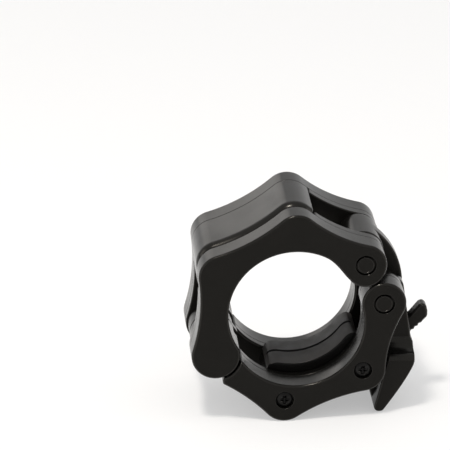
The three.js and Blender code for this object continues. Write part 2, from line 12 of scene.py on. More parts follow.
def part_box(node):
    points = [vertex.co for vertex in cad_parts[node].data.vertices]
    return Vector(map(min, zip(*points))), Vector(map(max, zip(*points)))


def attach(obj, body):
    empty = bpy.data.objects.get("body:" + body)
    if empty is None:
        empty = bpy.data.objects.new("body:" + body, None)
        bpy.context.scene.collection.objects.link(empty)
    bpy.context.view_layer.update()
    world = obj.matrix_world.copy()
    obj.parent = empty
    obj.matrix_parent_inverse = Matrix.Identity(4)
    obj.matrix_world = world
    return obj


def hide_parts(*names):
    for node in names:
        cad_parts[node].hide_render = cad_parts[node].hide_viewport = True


bl_info = {
    "name": "Lever Collar",
    "version": (1, 0, 0),
    "blender": (4, 5, 0),
    "location": "View3D > Sidebar > Collar",
    "description": "Makes a lever collar for a weight bar: jaws, pads, lever, link, tab and stage",
    "category": "Add Mesh",
}

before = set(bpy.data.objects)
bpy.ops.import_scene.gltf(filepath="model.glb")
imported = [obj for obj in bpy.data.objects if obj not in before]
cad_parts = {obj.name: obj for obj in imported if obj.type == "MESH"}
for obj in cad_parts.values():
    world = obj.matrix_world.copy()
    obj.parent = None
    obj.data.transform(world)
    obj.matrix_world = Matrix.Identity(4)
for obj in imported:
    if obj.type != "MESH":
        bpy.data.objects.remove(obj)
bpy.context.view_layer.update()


def axis_of(node):
    """Where the axis of a turned node crosses the jaws' plane."""
    low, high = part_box(node)
    return Vector(((low.x + high.x) / 2, (low.z + high.z) / 2))


def circle_centre(a, b, c):
    """Centre of the circle through three points of the jaws' plane."""
    ab, ac = b - a, c - a
    double = 2 * (ab.x * ac.y - ab.y * ac.x)
    x = (ac.y * ab.length_squared - ab.y * ac.length_squared) / double
    y = (ab.x * ac.length_squared - ac.x * ab.length_squared) / double
    return a + Vector((x, y))


LINK_BOSS = axis_of("link_pin")
LEVER_BOSS = axis_of("lever_pin")
HINGE = axis_of("hinge_pin")
FOOT_SCREW = axis_of("foot_screw")
TAB_SCREW = axis_of("tab_screw")
EYE = axis_of("lever_cross_pin")
BORE = circle_centre(LINK_BOSS, LEVER_BOSS, HINGE)
HALF_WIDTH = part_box("upper_frame")[1].y
FORK_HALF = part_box("link")[1].y
PAD_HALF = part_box("lower_pad")[1].y
PADDLE_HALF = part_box("lever")[1].y
TAB_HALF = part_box("release_tab")[1].y


def length(label, words, default):
    """A size in metres, as a property."""
    return bpy.props.FloatProperty(
        name=label, description=words, default=default, min=0.0, precision=5, unit="LENGTH"
    )


def angle(label, words, degrees):
    """An angle, as a property."""
    turn = math.radians(degrees)
    return bpy.props.FloatProperty(name=label, description=words, default=turn, subtype="ANGLE")


def share(label, words, default):
    """A plain share, as a property."""
    return bpy.props.FloatProperty(name=label, description=words, default=default, subtype="FACTOR")


def number(label, words, default):
    """How many there are of something, as a property."""
    return bpy.props.IntProperty(name=label, description=words, default=default, min=1)


def colour(label, words, default):
    """A colour, as a property."""
    return bpy.props.FloatVectorProperty(
        name=label, description=words, default=default, min=0.0, max=1.0, size=3, subtype="COLOR"
    )


class JawSizes(bpy.types.PropertyGroup):
    """Sizes of the two lobed jaws."""

    lobe_pitch: length("Lobe pitch", "Distance of the lobes from the bore's axis", (LINK_BOSS - BORE).length)
    lobe_radius: length("Lobe radius", "Radius of a plain lobe", 0.0088)
    link_boss: length("Link boss", "Radius of the upper jaw's end", 0.0081)
    lever_boss: length("Lever boss", "Radius of the lower jaw's end", 0.0085)
    hinge_lobe: length("Hinge lobe", "Radius of the lobes round the hinge", 0.0093)
    valley_sag: length("Valley sag", "How deep the hollow between two lobes is", 0.0017)
    bore_radius: length("Bore radius", "Radius of each jaw's bore", 0.0255)
    bore_spread: length("Bore spread", "How far each jaw's bore lies off the axis", 0.0022)
    bore_shift: length(
        "Bore shift", "How far the upper bore lies towards the hinge, and the lower one away from it", 0.0004
    )
    inner_half: length("Inner half", "Half of the space between the plates", 0.0098)
    cover: length("Cover", "Thickness of the front plate over the band", 0.0094)
    groove: length("Groove", "Width of the groove behind the front plate", 0.0026)
    groove_depth: length("Groove depth", "Depth of that groove", 0.0034)
    rim: length("Rim", "Rounding of the plates' edges", 0.0009)
    recess_rim: length("Recess rim", "Rounding of the edges of holes in the plates", 0.00025)
    seam: length("Seam", "Rounding beside the mould's parting lines", 0.00028)
    run_start: angle("Run start", "Where the upper bore ends and runs straight to the link's lobe", 38)
    fill_start: angle("Fill start", "Where the upper bore begins to come in towards that run", 64)
    bore_fill: length("Bore fill", "How far the upper bore comes in there", 0.0012)
    boss_drop: length("Boss drop", "How much further the link boss reaches down than a round one", 0.0009)
    band_rim: length("Band rim", "Rounding of the band's edge at the groove", 0.0034)
    apex: angle("Apex", "Place of the top lobe", 90)
    corner: angle("Corner", "Place of the lobe between the top and the hinge", 147)
    band_start: angle("Band start", "Where the band begins, at the link's window", 79)
    band_end: angle("Band end", "Where the band ends, at the hinge", 165)
    parting: length("Parting line", "Distance of the mould's parting line from the middle", 0.0138)
    tongue: length("Tongue", "Thickness of the tongue that carries half of the knuckle", 0.0034)
    tongue_step: length("Tongue step", "How far the front tongue lies behind the bore", 0.0018)
    back_tongue_end: angle("Back tongue end", "Where the back tongue ends", 222)
    tongue_end: angle("Tongue end", "Where the front tongue ends", 229)
    knuckle: length("Knuckle", "Radius of the hinge knuckle", 0.0085)
    hinge_gap: length("Hinge gap", "Clearance round the hinge lobe", 0.0005)


class PinSizes(bpy.types.PropertyGroup):
    """Sizes of pins, caps, screws and nuts."""

    radius: length("Pin radius", "Radius of a pin", 0.0026)
    head: length("Pin head", "Radius of a pin's head and of its cap", 0.0033)
    head_height: length("Head height", "Height of a pin's head", 0.0018)
    recess: length("Recess", "Radius of the recess round a head", 0.004)
    recess_depth: length("Recess depth", "Depth of that recess", 0.0022)
    clearance: length("Clearance", "Gap round a pin", 0.0003)
    cross_pin: length("Cross pin", "Radius of the lever's steel pin", 0.002)
    screw_head: length("Screw head", "Radius of a screw's head", 0.003)
    screw_recess: length("Screw recess", "Radius of the recess round a screw's head", 0.0035)
    screw_seat: length("Screw seat", "Depth of the screw's seat under the face", 0.0027)
    screw_drop: length("Screw drop", "How far a screw's head lies under the face", 0.0005)
    screw_shaft: length("Screw shaft", "Radius of a screw's shaft", 0.0017)
    cross_length: length("Cross length", "Length of the cross recess", 0.0036)
    cross_width: length("Cross width", "Width of the cross recess", 0.0011)
    cross_depth: length("Cross depth", "Depth of the cross recess", 0.0015)
    nut: length("Nut", "Radius over a nut's corners", 0.0034)
    nut_height: length("Nut height", "Height of a nut", 0.0026)


class PadSizes(bpy.types.PropertyGroup):
    """Sizes of the rubber pads."""

    seat: length("Seat", "Radius of the pad's seat", 0.0266)
    thickness: length("Thickness", "Thickness of the pad at its middle", 0.0034)
    crown: length("Crown", "Radius of the pad's crown", 0.0238)
    end_roll: length("End roll", "Length over which the crown rolls off at its ends", 0.0046)
    end_drop: length("End drop", "How far the crown rolls off there", 0.0024)
    front_fall: length("Front fall", "How far the crown falls towards its front edge", 0.0011)
    groove_width: length("Groove width", "Width of the groove along the middle", 0.0012)
    groove_depth: length("Groove depth", "Depth of that groove", 0.0012)
    edge: length("Edge", "Rounding of the pad's edges", 0.0005)
    lower_start: angle("Lower start", "Where the lower pad begins", 249)
    lower_end: angle("Lower end", "Where the lower pad ends", 333)
    upper_start: angle("Upper start", "Where the upper pad begins", 69)
    upper_end: angle("Upper end", "Where the upper pad ends", 153)


class LeverSizes(bpy.types.PropertyGroup):
    """Sizes of the lever, its paddle and the link."""

    lean: angle("Lean", "How far the closed lever leans from level", 91.5)
    reach: length("Reach", "Distance from the lever's pivot to its tip", 0.0476)
    root: length("Root", "Radius round the lever's pivot", 0.0076)
    tip: length("Tip", "Radius of the lever's tip", 0.0021)
    slot_half: length("Slot half", "Half of the width of the slot for the link", 0.0033)
    slot_end: length("Slot end", "Where the slot ends, from the pivot", 0.028)
    flare_start: length("Flare start", "Where the fork widens into the paddle", 0.0188)
    flare: length("Flare", "Length of the hollow part of that widening", 0.005)
    flare_round: length("Flare round", "Radius of the shoulder that ends the widening", 0.0026)
    corner: length("Corner", "Radius of the paddle's corners", 0.001)
    seat_gap: length("Seat gap", "Gap between the paddle and the lobe under it", 0.0005)
    slope: angle("Slope", "How far the paddle's inner face leans from the lever's line", 12)
    rib_depth: length("Rib depth", "Depth of the saw-tooth ribs", 0.0007)
    rib_rim: length("Rib rim", "Width of the plain rim beside the ribs", 0.0016)
    ribs: number("Ribs", "Number of ribs across the paddle", 5)
    rib_start: length("Rib start", "Where the first rib begins, from the tip", 0.0008)
    rib_pitch: length("Rib pitch", "Distance between two ribs", 0.0039)
    edge: length("Edge", "Rounding of the lever's edges", 0.0007)
    crank: length("Crank", "Distance between the lever's pivot and its cross pin", 0.0105)
    hub: length("Hub", "Radius of the link's hub", 0.0083)
    link_eye: length("Link eye", "Radius of the link round the cross pin", 0.0042)
    link_half: length("Link half", "Half of the link's thickness", 0.00295)
    bow: length("Bow", "Radius of the link's outer curve", 0.028)
    sweep: length("Sweep", "Room in the link for the lever's pin", 0.0044)


class TabSizes(bpy.types.PropertyGroup):
    """Sizes of the release tab and its spring."""

    reach: length("Reach", "Unit of the tab's outline", 0.0307)
    ring: length("Ring", "Radius of the tab round its sleeve", 0.0046)
    sleeve: length("Sleeve", "Outer radius of the sleeve", 0.0028)
    sleeve_bore: length("Sleeve bore", "Inner radius of the sleeve", 0.002)
    teeth: number("Teeth", "Number of ratchet teeth", 6)
    tooth_depth: length("Tooth depth", "Depth of a tooth", 0.0007)
    wire: length("Wire", "Radius of the spring's wire", 0.00035)
    turns: number("Turns", "Turns of the spring", 3)
    pitch: length("Pitch", "Rise of the spring in one turn", 0.0012)
    leg: length("Leg", "Length of the spring's straight leg", 0.008)
    hook: length("Hook", "Length of the spring's hook", 0.0012)
    lead: angle("Lead", "Where the leg leaves the coil", 300)
    edge: length("Edge", "Rounding of the tab's edges", 0.001)


class FinishColours(bpy.types.PropertyGroup):
    """Colours of the collar's finishes."""

    nylon: colour("Nylon", "Black moulded nylon", (0.0046, 0.0044, 0.004))
    sheen: colour("Sheen", "Tint of the nylon's sheen", (1.0, 0.955, 0.88))
    rubber: colour("Rubber", "Dark grey rubber of the pads", (0.024, 0.0215, 0.02))
    steel: colour("Steel", "Bright steel", (0.56, 0.55, 0.53))
    black_steel: colour("Black steel", "Blackened steel of the screws", (0.02, 0.0195, 0.019))
    stage: colour("Stage", "Floor and backdrop", (0.95, 0.95, 0.95))


class StageSizes(bpy.types.PropertyGroup):
    """Camera, lamps and floor."""

    azimuth: angle("Azimuth", "Camera's turn round the collar", -4.5)
    elevation: angle("Elevation", "Camera's height over the horizon", 22.5)
    distance: length("Distance", "Camera's distance from the bore", 1.35)
    target_x: share("Target across", "Where the bore's front end stands across the picture", 0.6593)
    target_y: share("Target down", "Where the bore's front end stands down the picture", 0.7112)
    scale: length("Scale", "Width of the picture at the front face", 0.1709)
    floor: length("Floor", "Half of the floor's width", 3.0)
    glow: share("Glow", "Share of plain white in the floor as the camera sees it", 0.4)


# Plane geometry: loops are lists of points of the jaws' plane, with the material on their left.

ORIGIN = Vector((0, 0))
# Degrees between the points of plain arcs, of lobes and of bores.
ROUND_STEP = 4.0
LOBE_STEP = 2.5
BORE_STEP = 1.5
# A corner to round off, a corner to round off more, and an edge between two faces.
SHARP_CORNER = math.radians(25)
SPUR_CORNER = math.radians(95)
SHARP_EDGE = math.radians(38)
# A flat strip beside a rounding, points that count as one, forms sunk together, and a step to smooth away.
HOLD = 0.00012
WELD = 0.000002
NEST = 0.00005
STEP = 0.0009
# Shares of the way to the next corner that a rounding may take, in an outline and in a turned profile.
CORNER_ROOM_SHARE = 0.45
PROFILE_ROOM_SHARE = 0.4
# The least spread of a mitre.
MITRE_LEAST = 0.4
# The least pull of a corner on the curve that rounds it off.
PULL_LEAST = 0.2
# Times that a crossing is halved, and that folds of an outline are gathered.
HALVINGS = 40
GATHERINGS = 40
# Sides of turned pieces, of hubs, of screws and of nuts.
PIN_SIDES = 72
HUB_SIDES = 120
SCREW_SIDES = 96
NUT_CORNERS = 6


def polar(centre, radius, degrees):
    """The point at a distance and a direction from another one."""
    turn = math.radians(degrees)
    return Vector((centre.x + radius * math.cos(turn), centre.y + radius * math.sin(turn)))


def arc(centre, radius, start, end, step=ROUND_STEP):
    """Points of an arc, with steps of at most so many degrees."""
    count = max(2, math.ceil(abs(end - start) / step))
    return [polar(centre, radius, start + (end - start) * i / count) for i in range(count + 1)]


def quarter(count):
    """Angles of a quarter turn, in even steps."""
    return [math.pi / 2 * i / count for i in range(count + 1)]


def smooth(value, low, high):
    """0 below low and 1 above high, with a soft rise between them."""
    t = min(1, max(0, (value - low) / (high - low)))
    return t * t * (3 - 2 * t)


def bezier(start, pull, end, t):
    """A point of the curve between two points that a third one pulls."""
    return start * (1 - t) ** 2 + pull * 2 * t * (1 - t) + end * t**2


def direction(a, b):
    """Degrees from one point towards another."""
    return math.degrees(math.atan2(b.y - a.y, b.x - a.x))


def after(degrees, earlier):
    """The same direction, as the next angle that isn't before another one."""
    return degrees + 360 * math.ceil((earlier - degrees) / 360)


def hollow(a, b, sag):
    """Centre and radius of the hollow arc that touches two lobes from outside."""
    half = (b[0] - a[0]).length / 2
    radius = (half * half + sag * sag) / (2 * sag) - (a[1] + b[1]) / 2
    reach_a, reach_b = a[1] + radius, b[1] + radius
    along = (reach_a**2 - reach_b**2 + 4 * half * half) / (4 * half)
    across = math.sqrt(reach_a**2 - along**2)
    line = (b[0] - a[0]).normalized()
    return a[0] + line * along + Vector((line.y, -line.x)) * across, radius


def lobed(lobes, sag):
    """Loop of a chain of lobes with hollows between them, closed through the bore's axis."""
    loop = [BORE.copy()]
    hollows = [hollow(a, b, sag) for a, b in zip(lobes, lobes[1:])]
    for i, (centre, radius) in enumerate(lobes):
        inward = direction(centre, BORE)
        start = inward if i == 0 else direction(centre, hollows[i - 1][0])
        end = inward if i == len(lobes) - 1 else direction(centre, hollows[i][0])
        loop += arc(centre, radius, start, after(end, start), LOBE_STEP)
        if i < len(hollows):
            middle, reach = hollows[i]
            first = direction(middle, centre)
            last = direction(middle, lobes[i + 1][0])
            last = first - (after(first, last) - last)
            loop += arc(middle, reach, first, last, LOBE_STEP)[1:-1]
    return loop


def bite(loop, centre, radius):
    """The loop with a disc taken out of it, where the disc's rim crosses it twice."""
    inside = [(p - centre).length < radius for p in loop]
    first = next(i for i in range(len(loop)) if not inside[i] and inside[i - 1])
    turned = loop[first:] + loop[:first]
    kept = []
    for point in turned:
        if (point - centre).length < radius:
            break
        kept.append(point)
    start = direction(centre, rim_point(kept[-1], turned[len(kept)], centre, radius))
    end = direction(centre, rim_point(turned[0], turned[-1], centre, radius))
    return kept + arc(centre, radius, start, end - 360 * math.ceil((end - start) / 360), BORE_STEP)


def rim_point(outside, inside, centre, radius):
    """Where a line from a point outside a circle to one inside it crosses the rim."""
    for _ in range(HALVINGS):
        middle = (outside + inside) / 2
        if (middle - centre).length < radius:
            inside = middle
        else:
            outside = middle
    return outside


def signed_turn(loop, i):
    """How far the loop turns at one of its points, positive towards its left."""
    before, later = loop[i] - loop[i - 1], loop[(i + 1) % len(loop)] - loop[i]
    if before.length < WELD or later.length < WELD:
        return 0.0
    return math.copysign(before.angle(later), before.x * later.y - before.y * later.x)


def turn_at(loop, i):
    """How far the loop turns at one of its points, to either side."""
    return abs(signed_turn(loop, i))


def walk(loop, i, way, reach, corners):
    """A point at a distance along the loop from one of its points, and the points passed on the way."""
    passed, here, left = [], loop[i], reach
    at = i
    while True:
        at = (at + way) % len(loop)
        step = (loop[at] - here).length
        if step >= left:
            return here + (loop[at] - here) * (left / step), passed
        if at in corners:
            return here + (loop[at] - here) * CORNER_ROOM_SHARE, passed
        left -= step
        here = loop[at]
        passed.append(at)


def clean(loop):
    """The loop without points that repeat."""
    return [p for i, p in enumerate(loop) if (p - loop[i - 1]).length > WELD]


def stepless(loop, reach):
    """The loop without small steps, where two sharp turns follow each other and cancel out."""
    loop = clean(loop)
    for i in range(len(loop)):
        k = (i + 1) % len(loop)
        here, there = signed_turn(loop, i), signed_turn(loop, k)
        sharp = min(abs(here), abs(there)) > SHARP_CORNER
        if here * there < 0 and sharp and (loop[k] - loop[i]).length < reach:
            middle = (loop[i] + loop[k]) / 2
            return stepless([middle if n == i else p for n, p in enumerate(loop)
                             if n == i or (n != k and (p - middle).length > reach)], reach)
    return loop


def soften(loop, reach, least=SHARP_CORNER, steps=6, spur=1.0):
    """The loop with its sharp corners rounded off, and the sharpest outer one more than the rest."""
    loop = stepless(loop, STEP)
    corners = [i for i in range(len(loop)) if turn_at(loop, i) > least]
    dropped, curves = set(corners), {}
    for i in corners:
        outer = turn_at(loop, i) > SPUR_CORNER and (loop[i] - BORE).length > (HINGE - BORE).length
        length = reach * (spur if outer else 1)
        start, back = walk(loop, i, -1, length, corners)
        end, forth = walk(loop, i, 1, length, corners)
        dropped.update(back + forth)
        pull = max(PULL_LEAST, math.cos(turn_at(loop, i) / 2))
        curves[i] = [conic(start, loop[i], end, pull, k / steps) for k in range(steps + 1)]
    result = []
    for i, point in enumerate(loop):
        if i in curves:
            result += curves[i]
        elif i not in dropped:
            result.append(point)
    return clean(result)


def conic(start, corner, end, pull, t):
    """A point of the round curve between two points, pulled towards a corner."""
    a, b, c = (1 - t) ** 2, 2 * pull * t * (1 - t), t * t
    return (start * a + corner * b + end * c) / (a + b + c)


def inset(loop, distance):
    """The loop moved towards its left, with its corners kept."""
    if not distance:
        return loop
    result = []
    for i, point in enumerate(loop):
        before = (point - loop[i - 1]).normalized()
        later = (loop[(i + 1) % len(loop)] - point).normalized()
        one, two = Vector((-before.y, before.x)), Vector((-later.y, later.x))
        result.append(point + (one + two) * (distance / max(MITRE_LEAST, 1 + one.dot(two))))
    for _ in range(GATHERINGS):
        runs = [(p - result[i - 1]).dot(loop[i] - loop[i - 1]) for i, p in enumerate(result)]
        if min(runs) >= -WELD**2:
            break
        gather(result, [run < WELD**2 for run in runs])
    return result


def gather(points, turned):
    """Brings each run of points that passed one another together at its middle."""
    count = len(points)
    first = next((i for i in range(count) if not turned[i]), 0)
    run = []
    for step in range(1, count + 1):
        i = (first + step) % count
        if turned[i]:
            run = run or [(i - 1) % count]
            run.append(i)
        elif run:
            middle = sum((points[k] for k in run), ORIGIN) / len(run)
            for k in run:
                points[k] = middle.copy()
            run = []


def leftward(loop):
    """The loop with its inside on the left."""
    area = sum(loop[i - 1].x * p.y - p.x * loop[i - 1].y for i, p in enumerate(loop))
    return loop if area > 0 else loop[::-1]


def hole(centre, radius, sides=PIN_SIDES):
    """Loop of a round hole, with the material outside it."""
    return arc(centre, radius, 360, 0, 360 / sides)[:-1]


def cut(loop, degrees, keep):
    """The part of a loop on one side of a ray from the bore's axis: 1 keeps its left, -1 its right."""
    ray = polar(ORIGIN, keep, degrees)
    sides = [ray.x * (p.y - BORE.y) - ray.y * (p.x - BORE.x) for p in loop]
    result = []
    for i, point in enumerate(loop):
        if (sides[i - 1] > 0) != (sides[i] > 0):
            result.append(loop[i - 1].lerp(point, sides[i - 1] / (sides[i - 1] - sides[i])))
        if sides[i] > 0:
            result.append(point)
    return clean(result)


# Solid geometry: a shell collects the points and faces of one piece.


def circle(centre, radius, depth, sides):
    """Points round an axis along Y, or the one point on it."""
    turns = [math.tau * i / sides for i in range(sides if radius > WELD else 1)]
    return [(centre.x + radius * math.cos(turn), depth, centre.y + radius * math.sin(turn)) for turn in turns]


class Shell:
    """Points and faces of a piece while it is made."""

    def __init__(self):
        self.points = []
        self.faces = []

    def ring(self, points):
        """Adds points, and gives their places in the shell."""
        first = len(self.points)
        self.points += [tuple(p) for p in points]
        return list(range(first, len(self.points)))

    def skin(self, rings, closed=False):
        """Makes rings of points, any of which may be a single point, and the faces between them."""
        made = [self.ring(ring) for ring in rings]
        for a, b in zip(made, made[1:] + (made[:1] if closed else [])):
            for i in range(max(len(a), len(b))):
                if len(a) == 1:
                    self.faces.append((a[0], b[i - 1], b[i]))
                elif len(b) == 1:
                    self.faces.append((a[i - 1], b[0], a[i]))
                else:
                    self.faces.append((a[i - 1], b[i - 1], b[i], a[i]))
        return made

    def cap(self, rings, flip):
        """Fills the flat face between rings of the jaws' plane."""
        loops = [[Vector((self.points[i][0], self.points[i][2], 0)) for i in ring] for ring in rings]
        flat = [i for ring in rings for i in ring]
        for triangle in geometry.tessellate_polygon(loops):
            face = [flat[i] for i in triangle]
            a, b, c = (Vector((self.points[i][0], self.points[i][2])) for i in face)
            if ((b - a).x * (c - a).y - (b - a).y * (c - a).x < 0) != flip:
                face.reverse()
            self.faces.append(tuple(face))

    def slab(self, outline, front, back, front_rim, back_rim, holes=(), hole_rim=0.0, steps=5):
        """A flat piece with rounded edges round its outline and its holes."""
        fronts, backs = [], []
        for loop in (outline, *holes):
            rims = (front_rim, back_rim) if loop is outline else (hole_rim, hole_rim)
            profile = rim_profile(front, back, *rims, steps)
            rings = self.skin([[(p.x, depth, p.y) for p in inset(loop, way)] for way, depth in profile])
            fronts.append(rings[0])
            backs.append(rings[-1])
        self.cap(fronts, False)
        self.cap(backs, True)

    def lathe(self, centre, profile, sides=PIN_SIDES, closed=False):
        """A piece turned round an axis along Y, from pairs of radius and depth."""
        self.skin([circle(centre, radius, depth, sides) for radius, depth in profile], closed)

    def tube(self, centre, inner, outer, front, back, rim, sides=PIN_SIDES, steps=2):
        """A turned ring with rounded edges, from its radii and depths."""
        profile = [(inner, front), (outer, front), (outer, back), (inner, back)]
        self.lathe(centre, rounded(profile, rim, closed=True, steps=steps), sides, closed=True)


def rim_profile(front, back, front_rim, back_rim, steps):
    """Pairs of inset and depth, from the front face round both rims to the back face."""
    bend = [(1 - math.sin(turn), 1 - math.cos(turn)) for turn in quarter(steps)]
    return [(front_rim + HOLD, front), *((front_rim * way, front + front_rim * depth) for way, depth in bend),
            (0, front + front_rim + HOLD), (0, back - back_rim - HOLD),
            *((back_rim * way, back - back_rim * depth) for way, depth in bend[::-1]),
            (back_rim + HOLD, back)]


def rounded(profile, reach, closed=False, steps=4):
    """A lathe profile with its corners rounded off, and held flat beside them."""
    points = [Vector(p) for p in profile]
    result = []
    for i, point in enumerate(points):
        if not closed and i in (0, len(points) - 1):
            result.append(point)
            continue
        before, later = points[i - 1] - point, points[(i + 1) % len(points)] - point
        room = min(reach, before.length * PROFILE_ROOM_SHARE, later.length * PROFILE_ROOM_SHARE)
        start, end = point + before.normalized() * room, point + later.normalized() * room
        hold = min(HOLD, room / 4)
        result.append(start + before.normalized() * hold)
        result += [bezier(start, point, end, k / steps) for k in range(steps + 1)]
        result.append(end + later.normalized() * hold)
    return [(p.x, p.y) for p in result]


def solid_mesh(name, shell):
    """Mesh of a shell, with its doubles merged and its faces outward."""
    mesh = bpy.data.meshes.new(name)
    mesh.from_pydata(shell.points, [], shell.faces)
    built = bmesh.new()
    built.from_mesh(mesh)
    bmesh.ops.remove_doubles(built, verts=built.verts, dist=WELD)
    bmesh.ops.recalc_face_normals(built, faces=built.faces)
    built.to_mesh(mesh)
    built.free()
    return mesh


def placed(name, data):
    """An object with that data, in the scene."""
    made = bpy.data.objects.new(name, data)
    bpy.context.scene.collection.objects.link(made)
    return made


def dress(name, mesh, body, nodes, slot):
    """Makes a piece that rides on a body, stands for nodes and has a slot's finish."""
    mesh.validate()
    mesh.polygons.foreach_set("use_smooth", [True] * len(mesh.polygons))
    mesh.set_sharp_from_angle(angle=SHARP_EDGE)
    mesh.materials.clear()
    mesh.materials.append(finish(FINISHES[slot]))
    piece = placed(name, mesh)
    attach(piece, body)
    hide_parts(*nodes)


def make_piece(name, shell, body, node, slot="black_nylon"):
    """Makes the piece of a shell, in the place of one node."""
    dress(name, solid_mesh(name, shell), body, [node], slot)


# Finishes


class Nodes:
    """A node tree while it is made: plain values go straight onto sockets, and sockets are linked to them."""

    def __init__(self, tree):
        self.tree = tree

    def feed(self, node, inputs):
        """Sets or links a node's inputs."""
        for key, value in dict(inputs).items():
            if isinstance(value, bpy.types.NodeSocket):
                self.tree.links.new(value, node.inputs[key])
            else:
                node.inputs[key].default_value = value
        return node

    def add(self, kind, inputs=(), **settings):
        """Makes a node, with its settings made before its inputs are set."""
        node = self.tree.nodes.new(kind)
        for key, value in settings.items():
            setattr(node, key, value)
        return self.feed(node, inputs)

    def sum(self, operation, *values):
        """Result of a sum or the like."""
        return self.add("ShaderNodeMath", enumerate(values), operation=operation).outputs["Value"]


class Finish(Nodes):
    """The nodes of one material, with patterns on Object coordinates."""

    def __init__(self, material):
        super().__init__(material.node_tree)
        self.shader = self.tree.nodes["Principled BSDF"]
        self.place = self.add("ShaderNodeTexCoord").outputs

    def noise(self, scale, detail, roughness=0.5):
        inputs = {"Vector": self.place["Object"], "Scale": scale, "Detail": detail, "Roughness": roughness}
        return self.add("ShaderNodeTexNoise", inputs).outputs["Fac"]

    def spread(self, source, low, high, start=0.3, end=0.7):
        """A value that goes from low to high while another goes from start to end."""
        inputs = {"Value": source, "From Min": start, "From Max": end, "To Min": low, "To Max": high}
        return self.add("ShaderNodeMapRange", inputs).outputs["Result"]

    def mix(self, factor, a, b, kind="FLOAT"):
        """A value between two others."""
        return self.add("ShaderNodeMix", {"Factor": factor, "A": a, "B": b}, data_type=kind).outputs["Result"]

    def tint(self, pattern, base, dark, light):
        """A colour that a pattern makes darker and lighter."""
        return self.mix(self.spread(pattern, 0, 1), (*(base * dark), 1), (*(base * light), 1), "RGBA")

    def facing(self, low, high):
        """1 where a surface faces along the bore, and 0 where it turns away."""
        split = self.add("ShaderNodeSeparateXYZ", {"Vector": self.place["Normal"]})
        return self.spread(self.sum("ABSOLUTE", split.outputs["Y"]), 0, 1, low, high)

    def bump(self, height, strength, distance, under=None):
        inputs = {"Height": height, "Strength": strength, "Distance": distance}
        if under:
            inputs["Normal"] = under
        return self.add("ShaderNodeBump", inputs).outputs["Normal"]


def finish(paint):
    """The material that a function of the same name paints, made when it is first asked for."""
    material = bpy.data.materials.get(paint.__name__)
    if material is None:
        material = bpy.data.materials.new(paint.__name__)
        material.use_nodes = True
        paint(Finish(material), bpy.context.scene.collar_finish)
    return material


def moulded_nylon(look, colours):
    """Black nylon: matt faces with a fine grain, glossier rims and sides, faint flow marks."""
    cloud = look.noise(scale=90, detail=4)
    face = look.facing(low=0.965, high=0.99)
    grain = look.noise(scale=5200, detail=2)
    flow_marks = look.bump(look.noise(scale=38, detail=2), strength=0.12, distance=0.0006)
    glossy, matt = look.spread(cloud, low=0.17, high=0.27), look.spread(cloud, low=0.3, high=0.42)
    look.feed(look.shader, {
        "Base Color": look.tint(cloud, Vector(colours.nylon), dark=0.85, light=1.2),
        "Roughness": look.mix(face, glossy, matt),
        "Specular IOR Level": look.mix(face, 0.3, 0.135),
        "Specular Tint": (*colours.sheen, 1),
        "Normal": look.bump(grain, strength=0.1, distance=0.00002, under=flow_marks),
    })


def rubber_skin(look, colours):
    """Rubber with a dull, dusty grey crown, and smooth walls painted near-black as painted shade."""
    base = Vector(colours.rubber)
    dust = look.noise(scale=240, detail=5, roughness=0.65)
    painted_shade_wall = look.facing(low=0.4, high=0.75)
    crown = look.tint(dust, base, dark=0.75, light=1.45)
    look.feed(look.shader, {
        # The walls that face along the bore are painted near-black: painted shade, not the rubber's own
        # colour.
        "Base Color": look.mix(painted_shade_wall, crown, (*(base * 0.12), 1), "RGBA"),
        "Roughness": look.mix(painted_shade_wall, look.spread(dust, low=0.45, high=0.65), 0.25),
        "Specular IOR Level": look.mix(painted_shade_wall, 0.4, 0.12),
        "Normal": look.bump(look.noise(scale=2600, detail=3), strength=0.35, distance=0.00006),
    })


def steel(look, base, bright, dull):
    """Turned steel with fine scratches."""
    scratch = look.noise(scale=1800, detail=4, roughness=0.7)
    stain = look.noise(scale=300, detail=3)
    look.feed(look.shader, {
        "Base Color": look.tint(stain, Vector(base), dark=0.8, light=1.1),
        "Metallic": 1.0,
        "Roughness": look.spread(scratch, bright, dull),
        "Normal": look.bump(scratch, strength=0.15, distance=0.00002),
    })


def turned_steel(look, colours):
    """Bright steel of the cross pin, the sleeve and the spring."""
    steel(look, colours.steel, bright=0.2, dull=0.38)


def blackened_steel(look, colours):
    """Dark steel of the screws and nuts."""
    steel(look, colours.black_steel, bright=0.26, dull=0.42)


def stage_white(look, colours):
    """White floor that keeps its shadows, with a share of plain white for what only looks at it."""
    look.feed(look.shader, {"Base Color": (*colours.stage, 1), "Roughness": 0.9, "Specular IOR Level": 0.1})
    rays = look.add("ShaderNodeLightPath").outputs
    seen = look.sum("MAXIMUM", rays["Is Camera Ray"], rays["Is Glossy Ray"])
    seen = look.sum("MAXIMUM", seen, rays["Is Transmission Ray"])
    glow = look.sum("MULTIPLY", seen, bpy.context.scene.collar_stage.glow)
    white = look.add("ShaderNodeEmission", {"Strength": 1.0})
    inputs = {"Fac": glow, 1: look.shader.outputs["BSDF"], 2: white.outputs["Emission"]}
    blend = look.add("ShaderNodeMixShader", inputs)
    look.feed(look.tree.nodes["Material Output"], {"Surface": blend.outputs["Shader"]})


# The finish of each slot of the packed frame.
FINISHES = {
    "black_nylon": moulded_nylon,
    "pin_nylon": moulded_nylon,
    "pad_rubber": rubber_skin,
    "bright_steel": turned_steel,
    "black_steel": blackened_steel,
}


# Jaws

SCREWS = (FOOT_SCREW, TAB_SCREW)
# How far one form goes into another that it meets.
LAP = 3 * NEST
# Rounding of a jaw's corners in its own plane, as a multiple of its rim, and more for its sharp outer tip.
PLATE_ROUNDING = 1.6
TIP_ROUNDING = 3.3
# Direction of a bore's lowest point, in degrees.
BORE_BOTTOM = -90
# Steps of the run where the upper bore comes in, and of the band's soft edge.
RUN_STEPS = 16
BAND_STEPS = 12


